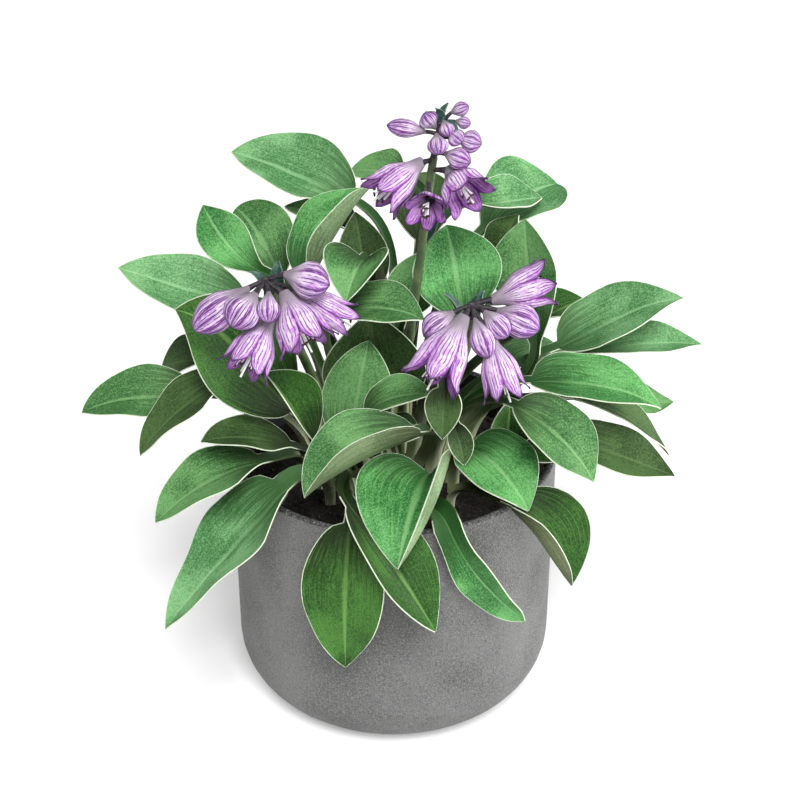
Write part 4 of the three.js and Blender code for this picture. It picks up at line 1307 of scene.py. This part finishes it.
class Soil:
    """The mound of dark soil, with loose crumbs on it."""

    def __init__(self, sizes: SoilSizes, pot: PotSizes, finishes: Finishes) -> None:
        """Keeps the sizes and the materials."""
        self.sizes = sizes
        self.pot = pot
        self.finishes = finishes

    def height(self, radius: float) -> float:
        """The soil's height at a distance from the middle."""
        inner = self.pot.radius - self.pot.wall
        return self.sizes.crown - (self.sizes.crown - self.sizes.rim) * (radius / inner) ** 2

    def foot(self, number: int) -> Vector:
        """Where the stalk with that number leaves the soil."""
        radius = self.sizes.foot_spacing * math.sqrt(number + 0.3)
        turn = math.radians(self.sizes.golden_turn * number)
        return Vector((radius * math.cos(turn), radius * math.sin(turn), self.height(radius)))

    def build(self) -> list[bpy.types.Object]:
        """Makes the mound and its crumbs.

        Returns:
            Both pieces, the mound in place of its solid.
        """
        wall = self.pot.radius - self.pot.wall - self.sizes.gap
        rings = self.sizes.rings
        top: list[Pair] = [(wall * i / rings, self.height(wall * i / rings))
                           for i in range(rings + 1)]
        line = top + [(wall, self.pot.side_ring), (wall, self.pot.edge_round + 0.4),
                      (self.pot.foot_radius - self.pot.edge_round + 15, 11.6),
                      (50, self.sizes.bottom), (0, self.sizes.bottom)]

        def place(u: float, v: float) -> Vector:
            """A point of the soil, lumpy on top."""
            i = round(v * (len(line) - 1))
            radius, z = line[i]
            turn = math.pi * (u + 1)
            spot = Vector((radius * math.cos(turn), radius * math.sin(turn), 0))
            if 0 < i < rings:
                z += 1.5 * noise.noise(spot * 0.11) + 0.9 * noise.noise(spot * 0.33)
            return (spot + Vector((0, 0, z))) * MM

        mound = shaped_grid("soil_mound", self.sizes.sides, len(line) - 1, place)
        merge_seams(mound)
        face_outwards(mound)
        dress(mound, self.finishes.plain[SOIL.name])
        smooth(mound, 60)
        hand_in(mound, "soil", "soil")
        return [mound, self.crumbs(wall)]

    def crumbs(self, wall: float) -> bpy.types.Object:
        """Loose crumbs lying on the soil.

        Args:
            wall: the soil's radius, in millimetres.

        Returns:
            One piece that holds them all.
        """
        draw = random.Random(self.sizes.seed)
        lumps: list[bpy.types.Object] = []
        deselect()
        bpy.ops.mesh.primitive_ico_sphere_add(subdivisions=1, radius=MM)
        first = bpy.context.object
        for _ in range(self.sizes.crumbs):
            radius = wall * math.sqrt(draw.random()) * self.sizes.crumb_reach
            turn = draw.uniform(0, 2 * math.pi)
            size = draw.choice((0.6, 0.8, 1.0, 1.3, 1.9))
            lump = first.copy()
            lump.data = first.data.copy()
            bpy.context.collection.objects.link(lump)
            spot = Vector((radius * math.cos(turn), radius * math.sin(turn),
                           self.height(radius) + 0.3 * size))
            stretch = Vector((draw.uniform(0.7, 1.4), draw.uniform(0.7, 1.4), 0.8)) * size
            turned_by = Quaternion(Vector((0.3, 0.2, 1)).normalized(), draw.uniform(0, 6.2))
            for vertex in lump.data.vertices:
                point = Vector(a * b for a, b in zip(vertex.co, stretch))
                jolt = 1 + 0.35 * noise.noise(vertex.co * 900 + spot)
                vertex.co = turned_by @ point * jolt + spot * MM
            lumps.append(lump)
        bpy.data.objects.remove(first)
        crumbs = join_all(lumps, "soil_crumbs")
        dress(crumbs, self.finishes.plain[SOIL.name])
        hand_in(crumbs, "soil")
        return crumbs


# ------------------------------------------------------------------ leaves

@dataclass(frozen=True)
class LeafSizes:
    """What all leaves share, in millimetres, degrees and shares of the leaf's own lengths.

    lift, ease and pull say how far a curve's inner control points lie from its ends, for the
    stalk's foot, the stalk's top and the blade. groove and groove_half are the midrib
    channel's depth and half width. The pale margin starts at margin_start of the stalk.
    """

    stalk_half: float = 3.4
    stalk_thick: float = 1.3
    blade_thick: float = 0.55
    sunk: float = 8
    stalk_fold: float = 20
    stalk_cup: float = 50
    lift: float = 0.4
    ease: float = 0.32
    pull: float = 0.34
    groove: float = 0.35
    groove_half: float = 1.3
    margin_start: float = 0.97
    unevenness: float = 0.5
    across: int = 18
    stalk_step: float = 5.0
    blade_rows: int = 34


@dataclass
class LeafShape:
    """A leaf's curves and cross-sections, worked out from its plan."""

    plan: LeafPlan
    root: Vector
    sizes: LeafSizes
    stalk: list[Vector] = field(default_factory=list)
    blade: list[Vector] = field(default_factory=list)
    side: Vector = field(default_factory=Vector)

    def __post_init__(self) -> None:
        """Works out the stalk's and the blade's control points."""
        plan = self.plan
        neck, tip = Vector(plan.neck), Vector(plan.tip)
        chord = tip - neck
        own = math.atan2(chord.y, chord.x)
        heading = own if plan.heading is None else math.radians(plan.heading)
        self.side = Vector((-math.sin(heading), math.cos(heading), 0))
        start = turned(chord.normalized(), self.side, -plan.rise)
        end = turned(chord.normalized(), self.side, plan.droop)
        root = self.root + Vector((0, 0, 1))
        sizes = self.sizes
        gap = (neck - root).length
        self.stalk = [root, root + Vector((0, 0, sizes.lift * gap)),
                      neck - start * sizes.ease * gap, neck]
        reach = sizes.pull * chord.length
        self.blade = [neck, neck + start * reach, tip - end * reach, tip]

    def half(self, t: float) -> float:
        """The blade's half width at a share t of its length."""
        plan = self.plan
        power = math.log(0.5) / math.log(plan.widest)
        swell = max(math.sin(math.pi * t ** power), 0.0)
        blade = 0.5 * plan.width * swell ** (0.58 + 0.3 * t)
        return max(math.hypot(blade, plan.wing * (1 - t) ** 2), 0.3)

    def stalk_rows(self) -> int:
        """How many rows of faces the stalk needs."""
        return max(5, round((self.stalk[3] - self.stalk[0]).length / self.sizes.stalk_step))

    def section(self, row: int) -> Section:
        """The cross-section of one row of points.

        Args:
            row: 0 is in the soil, then come the stalk's rows and the blade's.

        Returns:
            Its middle, its sideways and upward directions, its half width, its (fold, cup)
            in radians for the right and the left side, and the ripple of its edge.
        """
        plan, sizes = self.plan, self.sizes
        rows = self.stalk_rows()
        ripple = 0.0
        if row <= rows + 1:
            share = max(row - 1, 0) / rows
            centre = bezier(self.stalk, share)
            along = bezier_way(self.stalk, share)
            if row == 0:
                centre = self.stalk[0] - Vector((0, 0, sizes.sunk))
                along = Vector((0, 0, 1))
            blend = 0.5 * share ** 3
            half = sizes.stalk_half + (plan.wing - sizes.stalk_half) * share
            roll = plan.roll * share
        else:
            t = (row - rows - 1) / sizes.blade_rows
            centre = bezier(self.blade, t)
            along = bezier_way(self.blade, t)
            blend = 0.5 + 0.5 * min(t / 0.3, 1)
            half = self.half(t)
            roll = plan.roll + plan.twist * t
            ripple = plan.wave * math.sin(4 * math.pi * t)
        s = (self.side - along * self.side.dot(along)).normalized()
        up = along.cross(s)
        s = turned(s, along, roll)
        up = turned(up, along, roll)
        bends: list[Pair] = []
        for hand in (0, 1):
            fold = sizes.stalk_fold + (plan.fold[hand] - sizes.stalk_fold) * blend
            cup = sizes.stalk_cup + (plan.cup[hand] - sizes.stalk_cup) * blend
            bends.append((math.radians(fold), math.radians(cup)))
        return centre, s, up, half, bends, ripple

    def point(self, section: Section, q: float) -> Vector:
        """A point of the upper face.

        Args:
            section: the row's cross-section.
            q: the share across, from -1 at the right edge to 1 at the left.

        Returns:
            The point, in millimetres.
        """
        centre, s, up, half, bends, ripple = section
        fold, cup = bends[0 if q < 0 else 1]
        edge = abs(q)
        sign = math.copysign(1.0, q) if q else 0.0
        bend = fold + cup * edge
        if abs(cup) > 1e-3:
            out = (math.sin(bend) - math.sin(fold)) / cup
            lift = (math.cos(fold) - math.cos(bend)) / cup
        else:
            out = math.cos(fold) * edge
            lift = math.sin(fold) * edge
        sizes = self.sizes
        groove = sizes.groove * math.exp(-(q * half / sizes.groove_half) ** 2)
        return centre + s * (sign * out * half) + up * (
            lift * half + ripple * sign * edge * edge - groove)


class Leaf:
    """One hosta leaf: channelled stalk, broad veined blade and thin pale margin."""

    def __init__(self, plan: LeafPlan, root: Vector, finishes: Finishes,
                 sizes: LeafSizes = LeafSizes()) -> None:
        """Works out the leaf's shape."""
        self.plan = plan
        self.sizes = sizes
        self.finishes = finishes
        self.shape = LeafShape(plan, root, sizes)

    def build(self) -> bpy.types.Object:
        """Makes the leaf.

        Returns:
            The leaf, in place of its solid.
        """
        shape, sizes = self.shape, self.sizes
        rows = shape.stalk_rows() + 1 + sizes.blade_rows
        sections = [shape.section(row) for row in range(rows + 1)]
        seed = Vector((self.plan.foot * 3.7, 0, 0))

        def place(u: float, v: float) -> Vector:
            """A point of the leaf's upper face, with a slight unevenness."""
            section = sections[round(v * rows)]
            _, _, up, half, _, _ = section
            point = shape.point(section, -u)
            uneven = sizes.unevenness * min(half / 20, 1) * noise.noise(point * 0.07 + seed)
            return (point + up * uneven) * MM

        piece = shaped_grid(self.plan.name.replace("leaf_", "blade_"), sizes.across, rows,
                            place)
        self.store(piece, sections, rows)
        finishes, tone = self.finishes, self.plan.tone
        dress(piece, finishes.tops[tone], finishes.unders[tone],
              finishes.plain[LEAF_RIM.name])
        thicken(piece, sizes.stalk_thick * MM, back=Skin.BACK, rim=Skin.RIM, group="thick",
                least=sizes.blade_thick / sizes.stalk_thick)
        self.plain_stalk_rim(piece)
        smooth(piece, 55)
        hand_in(piece, "leaf", self.plan.name)
        return piece

    def plain_stalk_rim(self, piece: bpy.types.Object) -> None:
        """Gives the rim of the stalk the leaf's under side's finish, without a pale margin."""
        rises = piece.data.attributes["rise"].data
        for face in piece.data.polygons:
            on_stalk = rises[face.vertices[0]].value < self.sizes.margin_start
            if face.material_index == Skin.RIM and on_stalk:
                face.material_index = Skin.BACK

    def store(self, piece: bpy.types.Object, sections: Sequence[Section],
              rows: int) -> None:
        """Stores what the leaf's materials read.

        Args:
            piece: the leaf's upper face.
            sections: its cross-sections.
            rows: the number of its last row.
        """
        stalk = self.shape.stalk_rows()
        layer = piece.data.uv_layers.active.data
        count = len(piece.data.vertices)
        edges = [0.0] * count
        rises = [0.0] * count
        group = piece.vertex_groups.new(name="thick")
        for loop in piece.data.loops:
            across, place = layer[loop.index].uv
            row = round(place * rows)
            share = min(max(row - 1, 0) / stalk, 1.0)
            t = (row - stalk - 1) / self.sizes.blade_rows
            half = sections[row][3]
            edges[loop.vertex_index] = (1 - abs(2 * across - 1)) * half
            rises[loop.vertex_index] = share
            layer[loop.index].uv = (across, max(t, 0.5 * (share - 1)))
        add_value(piece, "edge", edges)
        add_value(piece, "rise", rises)
        for index, share in enumerate(rises):
            group.add([index], max(0.0, 1 - share ** 2), "REPLACE")


# ------------------------------------------------------------------ flower stems

@dataclass(frozen=True)
class BractSizes:
    """What all bracts share, in millimetres and degrees."""

    fold: float = 10
    cup: float = 30
    thick: float = 0.6
    sunk: float = 5
    across: int = 8
    rows: int = 14


class Bracts:
    """Small pointed leaves on the flower stems and their heads."""

    def __init__(self, finishes: Finishes, sizes: BractSizes = BractSizes()) -> None:
        """Keeps the materials and the sizes."""
        self.finishes = finishes
        self.sizes = sizes

    def one(self, plan: BractPlan) -> bpy.types.Object:
        """Makes one bract.

        Args:
            plan: its place and size.

        Returns:
            A small pointed leaf.
        """
        sizes = self.sizes
        shape = LeafShape(
            LeafPlan("bract", 0, plan.root, plan.tip, plan.width, Tone.DEEP, plan.rise,
                     plan.droop, 0, (sizes.fold, sizes.fold), (sizes.cup, sizes.cup)),
            Vector(plan.root) - Vector((0, 0, sizes.sunk)), LeafSizes(blade_rows=sizes.rows))
        first = shape.stalk_rows() + 1
        sections = [shape.section(first + row) for row in range(sizes.rows + 1)]
        bend = (math.radians(sizes.fold), math.radians(sizes.cup))

        def place(u: float, v: float) -> Vector:
            """A point of the bract's upper face."""
            row = round(v * sizes.rows)
            centre, s, up, _, _, _ = sections[row]
            t = row / sizes.rows
            half = max(0.5 * plan.width * math.sin(math.pi * (0.15 + 0.85 * t)), 0.25)
            return shape.point((centre, s, up, half, [bend] * 2, 0.0), -u) * MM

        bract = shaped_grid("bract", sizes.across, sizes.rows, place)
        plain = self.finishes.plain
        dress(bract, plain[BRACT_SKIN.name], plain[BRACT_SKIN.name], plain[BRACT_RIM.name])
        thicken(bract, sizes.thick * MM, back=Skin.BACK, rim=Skin.RIM)
        smooth(bract)
        return bract


@dataclass(frozen=True)
class StemSizes:
    """What all flower stems share, in millimetres."""

    radius: float = 2.2
    sunk: float = 8
    steps: int = 26


class Stem:
    """A round flower stem with its bracts."""

    def __init__(self, plan: StemPlan, root: Vector, finishes: Finishes,
                 sizes: StemSizes = StemSizes()) -> None:
        """Keeps the plan and the materials."""
        self.plan = plan
        self.root = root
        self.sizes = sizes
        self.finishes = finishes

    def build(self) -> bpy.types.Object:
        """Makes the stem and its bracts.

        Returns:
            Both as one piece, in place of their solid.
        """
        root = self.root + Vector((0, 0, 1))
        top = Vector(self.plan.top)
        lean = Vector(self.plan.lean).normalized()
        third = (top - root).length / 3
        ends = [root, root + Vector((0, 0, third)), top - lean * third, top]
        line = [root - Vector((0, 0, self.sizes.sunk))] + curve_points(ends, self.sizes.steps)
        count = len(line)
        radii = [self.sizes.radius * (1.06 - 0.1 * i / count) * MM for i in range(count)]
        rod = sleeve(self.plan.name, [p * MM for p in line], radii, 14)
        dress(rod, self.finishes.plain[STEM_SKIN.name])
        bracts = Bracts(self.finishes)
        parts = [rod] + [bracts.one(plan) for plan in self.plan.bracts]
        stem = join_all(parts, self.plan.name.replace("stem_", "scape_"))
        hand_in(stem, "stem", self.plan.name)
        return stem


# ------------------------------------------------------------------ flowers

@dataclass(frozen=True)
class FlowerSizes:
    """What all blooms share, in millimetres and shares of their own size."""

    petals: int = 6
    petal_thick: float = 0.4
    overlap: float = 0.25
    stalklet: float = 0.95
    core: float = 2.0
    core_steps: int = 12
    threads: int = 6
    thread: float = 0.32
    style: float = 0.5
    bud: tuple[Pair, ...] = ((0, 0.14), (0.08, 0.2), (0.22, 0.46), (0.5, 0.96), (0.64, 0.99),
                             (0.8, 0.8), (0.92, 0.46), (1, 0.03))
    bell: tuple[Pair, ...] = ((0, 0.09), (0.1, 0.13), (0.2, 0.165), (0.3, 0.235),
                              (0.42, 0.32), (0.55, 0.385), (0.7, 0.41), (0.85, 0.43),
                              (1, 0.5))
    lobe: tuple[Pair, ...] = ((0, 1.1), (0.5, 1.12), (0.66, 1.1), (0.78, 0.98),
                              (0.88, 0.68), (0.95, 0.36), (1, 0.03))


class FlowerHead:
    """A head of lilac bells and buds on their dark stalklets."""

    def __init__(self, plan: HeadPlan, stem: StemPlan, finishes: Finishes,
                 sizes: FlowerSizes = FlowerSizes()) -> None:
        """Keeps the plan and the materials."""
        self.plan = plan
        self.stem = stem
        self.sizes = sizes
        self.finishes = finishes
        self.draw = random.Random(len(plan.blooms) * 7 + plan.stem)

    def build(self) -> list[bpy.types.Object]:
        """Makes the head.

        Returns:
            The petals, which stand for the head's solid, the stalklets and the stamens.
        """
        plain = self.finishes.plain
        petals: list[bpy.types.Object] = []
        rods: list[bpy.types.Object] = self.core()
        threads: list[bpy.types.Object] = []
        knobs: list[bpy.types.Object] = []
        for bloom in self.plan.blooms:
            turn = self.frame_of(bloom)
            if bloom.kind is Bloom.BUD:
                petals.append(self.bud(bloom, turn))
            else:
                petals += self.bell(bloom, turn)
                new_threads, new_knobs = self.stamens(bloom, turn)
                threads += new_threads
                knobs += new_knobs
            rods.append(self.stalklet(bloom))
        bracts = Bracts(self.finishes)
        rods += [bracts.one(scale) for scale in self.plan.scales]
        short = self.plan.name.replace("flowers_", "")
        head = join_all(petals, f"petals_{short}")
        hand_in(head, "petal", self.plan.name)
        rod = join_all(rods, f"stalklets_{short}")
        hand_in(rod, "stem", self.plan.name)
        for thread in threads:
            dress(thread, plain[STAMEN.name])
        for knob in knobs:
            dress(knob, plain[ANTHER.name])
        stamens = join_all(threads + knobs, f"stamens_{short}")
        hand_in(stamens, "petal", self.plan.name)
        return [head, rod, stamens]

    def frame_of(self, bloom: BloomPlan) -> Matrix:
        """The turn and place that put a bloom's own axis on its line, in millimetres."""
        base, tip = Vector(bloom.base), Vector(bloom.tip)
        axis = (tip - base).normalized()
        turn = Vector((0, 0, 1)).rotation_difference(axis)
        return Matrix.Translation(base) @ turn.to_matrix().to_4x4()

    def core(self) -> list[bpy.types.Object]:
        """The head's core, from the stem's top to its knob, its lower part still green."""
        lean = Vector(self.stem.lean).normalized()
        start = Vector(self.stem.top) + lean * 0.3
        core = Vector(self.plan.core)
        middle = start + lean * 0.5 * (core - start).length
        steps = self.sizes.core_steps
        points = [p * MM for p in curve_points([start, middle, core], steps)]
        radii = [self.sizes.core * (1 - 0.25 * i / steps) * MM for i in range(steps + 1)]
        knob_line = [core + lean * z for z in (-2.4, -1.6, 0, 1.4, 2.2)]
        knob = sleeve("knob", [p * MM for p in knob_line],
                      [r * MM for r in (0.6, 1.8, 2.3, 1.5, 0.4)], 10)
        dark = self.finishes.plain[STALKLET.name]
        dress(knob, dark)
        split = round(steps * self.plan.green)
        upper = sleeve("core", points[max(split - 1, 0):], radii[max(split - 1, 0):], 12)
        dress(upper, dark)
        if split < 2:
            return [upper, knob]
        lower_radii = [r + 0.0002 for r in radii[:split + 1]]
        lower = sleeve("lower_core", points[:split + 1], lower_radii, 12)
        dress(lower, self.finishes.plain[STEM_SKIN.name])
        return [upper, knob, lower]

    def stalklet(self, bloom: BloomPlan) -> bpy.types.Object:
        """The thin stalk that carries a bloom, widening to the bloom's own start."""
        start = Vector(bloom.joint or self.plan.core)
        base, tip = Vector(bloom.base), Vector(bloom.tip)
        inside = base.lerp(tip, 0.1)
        way = inside - start
        middle = start + way * 0.5 + Vector((0, 0, 0.08 * way.length))
        points = [p * MM for p in curve_points([start, middle, inside], 7)]
        wide = 0.085 * bloom.width + 0.25
        radii = []
        for i in range(8):
            share = i / 7
            spread = self.sizes.stalklet * (1 + 0.3 * (1 - share) ** 3)
            radii.append((spread + (wide - spread) * share ** 2) * MM)
        rod = sleeve("stalklet", points, radii, 10)
        dress(rod, self.finishes.plain[STALKLET.name])
        return rod

    def bud(self, bloom: BloomPlan, turn: Matrix) -> bpy.types.Object:
        """A closed bud: six petals wrapped round each other.

        Args:
            bloom: its place and size.
            turn: the bloom's frame.

        Returns:
            The bud.
        """
        length = (Vector(bloom.tip) - Vector(bloom.base)).length
        seed = Vector((self.draw.uniform(0, 50), 0, 0))

        def place(u: float, v: float) -> Vector:
            """A point of the bud's skin, creased where two petals meet."""
            share = v ** 0.9
            radius = 0.5 * bloom.width * follow(self.sizes.bud, share)
            angle = math.pi * (u + 1)
            crease = abs(math.cos(3 * angle)) ** 6
            radius *= 1 - 0.075 * crease * math.sin(math.pi * share) ** 0.5
            way = Vector((math.cos(angle), math.sin(angle), 0))
            radius *= 1 + 0.05 * noise.noise(way * 1.3 + seed + Vector((0, 0, 2 * share)))
            if v in (0.0, 1.0):
                radius = 0.0
            return turn @ (way * radius + Vector((0, 0, length * share))) * MM

        bud = shaped_grid("bud", 48, 22, place)
        self.petal_shares(bud)
        merge_seams(bud)
        face_outwards(bud)
        dress(bud, self.finishes.plain[BUD_OUTSIDE.name])
        smooth(bud, 60)
        return bud

    def petal_shares(self, bud: bpy.types.Object) -> None:
        """Makes the UV map of a bud run from edge to edge of each of its petals."""
        layer = bud.data.uv_layers.active.data
        for face in bud.data.polygons:
            middle = sum(layer[i].uv.x for i in face.loop_indices) / len(face.loop_indices)
            first = math.floor(middle * self.sizes.petals + 0.5) - 0.5
            for i in face.loop_indices:
                across = layer[i].uv.x * self.sizes.petals - first
                layer[i].uv = (across, layer[i].uv.y)

    def bell(self, bloom: BloomPlan, turn: Matrix) -> list[bpy.types.Object]:
        """An open bell of six petals.

        Args:
            bloom: its place and size.
            turn: the bloom's frame.

        Returns:
            The six petals.
        """
        length = (Vector(bloom.tip) - Vector(bloom.base)).length
        plain = self.finishes.plain
        petals: list[bpy.types.Object] = []
        sector = math.pi / self.sizes.petals
        spin = self.draw.uniform(0, math.pi / 3)
        for number in range(self.sizes.petals):
            flare = self.draw.uniform(-0.05, 0.06)
            reach = self.draw.uniform(0.95, 1.02)
            outer = self.sizes.overlap if number % 2 else 0.0
            middle = 2 * sector * number + spin

            def place(u: float, v: float, middle: float = middle, flare: float = flare,
                      reach: float = reach, outer: float = outer) -> Vector:
                """A point of the petal's outer face."""
                half = sector * follow(self.sizes.lobe, v)
                radius = bloom.width * follow(self.sizes.bell, v)
                radius *= 1 + flare * v * v
                cupped = 1 - 0.16 * (u * follow(self.sizes.lobe, v)) ** 2 * v
                keel = 1 + 0.035 * math.exp(-(u / 0.22) ** 2) * math.sin(math.pi * v)
                radius = radius * cupped * keel + outer * v
                angle = middle + half * u
                z = length * reach * v - 0.03 * length * u * u * v
                return turn @ Vector((radius * math.cos(angle), radius * math.sin(angle),
                                      z)) * MM

            petal = shaped_grid("petal", 12, 26, place)
            dress(petal, plain[PETAL_OUTSIDE.name], plain[PETAL_INSIDE_SHADED.name])
            thicken(petal, self.sizes.petal_thick * MM, back=Skin.BACK)
            smooth(petal, 60)
            petals.append(petal)
        return petals

    def stamens(self, bloom: BloomPlan,
                turn: Matrix) -> tuple[list[bpy.types.Object], list[bpy.types.Object]]:
        """The threads in a bell's mouth and the dark tips on them; the first, bare one is longest.

        Args:
            bloom: its place and size.
            turn: the bloom's frame.

        Returns:
            The threads and the tips.
        """
        length = (Vector(bloom.tip) - Vector(bloom.base)).length
        threads: list[bpy.types.Object] = []
        knobs: list[bpy.types.Object] = []
        for number in range(self.sizes.threads):
            angle = 2 * math.pi * number / self.sizes.threads + self.draw.uniform(-0.3, 0.3)
            out = bloom.width * self.draw.uniform(0.06, 0.17)
            far = length * self.draw.uniform(0.84, 0.99)
            thick = self.sizes.thread
            if number == 0:
                out, far, thick = bloom.width * 0.05, length * 1.06, self.sizes.style
            way = Vector((math.cos(angle), math.sin(angle), 0))
            ends = [Vector((0, 0, 0.3 * length)), way * out * 0.5 + Vector((0, 0, 0.7 * far)),
                    way * out + Vector((0, 0, far))]
            points = [turn @ p for p in curve_points(ends, 7)]
            threads.append(sleeve("thread", [p * MM for p in points], [thick * MM] * 8, 6))
            if number == 0:
                continue
            tip = points[-1]
            lay = turn.to_3x3() @ Vector((-math.sin(angle), math.cos(angle), 0.3))
            line = [tip + lay * z for z in (-1.3, -0.8, 0, 0.8, 1.3)]
            knobs.append(sleeve("anther", [p * MM for p in line],
                                [r * MM for r in (0.15, 0.5, 0.62, 0.5, 0.15)], 6))
        return threads, knobs


# ------------------------------------------------------------------ stage

@dataclass(frozen=True)
class StagePlan:
    """The camera's place and the lights, in metres and watts."""

    target: Point = (0.0033, 0.0, 0.1636)
    distance: float = 0.9
    elevation: float = 31.0
    lens: float = 80.9
    floor: float = 12.0
    sun: float = 2.85
    sun_from: Point = (0.08, -0.7, 0.9)
    softness: float = 24.0
    side: float = 6.5
    side_from: Point = (0.85, 0.05, 0.35)
    side_size: float = 0.5
    room: float = 0.45


class Stage:
    """A pale floor, soft lights and the camera."""

    def __init__(self, plan: StagePlan, finishes: Finishes) -> None:
        """Keeps the plan and the materials."""
        self.plan = plan
        self.finishes = finishes

    def build(self) -> None:
        """Makes the floor, the lights and the camera."""
        deselect()
        bpy.ops.mesh.primitive_plane_add(size=self.plan.floor)
        floor = bpy.context.object
        floor.name = "floor"
        dress(floor, self.finishes.plain[FLOOR.name])
        self.camera()
        self.sun()
        self.side_light()
        world = bpy.data.worlds.new("soft_room")
        world.use_nodes = True
        world.node_tree.nodes["Background"].inputs["Color"].default_value = (1, 1, 1, 1)
        world.node_tree.nodes["Background"].inputs["Strength"].default_value = self.plan.room
        bpy.context.scene.world = world
        bpy.context.scene.view_settings.view_transform = "Standard"

    def camera(self) -> None:
        """Makes the camera and uses it."""
        slope = math.radians(self.plan.elevation)
        back = Vector((0, -math.cos(slope), math.sin(slope)))
        data = bpy.data.cameras.new("camera")
        data.lens = self.plan.lens
        data.sensor_width = 36.0
        data.clip_start = 0.01
        camera = bpy.data.objects.new("camera", data)
        bpy.context.scene.collection.objects.link(camera)
        camera.location = Vector(self.plan.target) + back * self.plan.distance
        camera.rotation_euler = back.to_track_quat("Z", "Y").to_euler()
        bpy.context.scene.camera = camera

    def sun(self) -> None:
        """Makes the broad main light, high in front."""
        data = bpy.data.lights.new("main_light", "SUN")
        data.angle = math.radians(self.plan.softness)
        data.energy = self.plan.sun
        light = bpy.data.objects.new("main_light", data)
        bpy.context.scene.collection.objects.link(light)
        away = Vector(self.plan.sun_from)
        light.rotation_euler = away.to_track_quat("Z", "Y").to_euler()

    def side_light(self) -> None:
        """Makes the weak square light at the right, which casts no shadow."""
        data = bpy.data.lights.new("side_light", "AREA")
        data.shape = "SQUARE"
        data.size = self.plan.side_size
        data.energy = self.plan.side
        data.use_shadow = False
        light = bpy.data.objects.new("side_light", data)
        bpy.context.scene.collection.objects.link(light)
        light.location = self.plan.side_from
        away = Vector(self.plan.side_from) - Vector(self.plan.target)
        light.rotation_euler = away.to_track_quat("Z", "Y").to_euler()


# ------------------------------------------------------------------ the plant


def main() -> None:
    """Builds the pot, the soil, the leaves, the flowers and the stage."""
    logging.basicConfig(level=logging.INFO, format="%(message)s")
    finishes = Finishes().build()
    Stage(StagePlan(), finishes).build()
    pot = PotSizes()
    Pot(pot, finishes).build()
    soil = Soil(SoilSizes(), pot, finishes)
    soil.build()
    for plan in LEAVES:
        Leaf(plan, soil.foot(plan.foot), finishes).build()
    for plan in STEMS:
        Stem(plan, soil.foot(plan.foot), finishes).build()
    for plan in HEADS:
        FlowerHead(plan, STEMS[plan.stem], finishes).build()


if __name__ == "__main__":
    main()
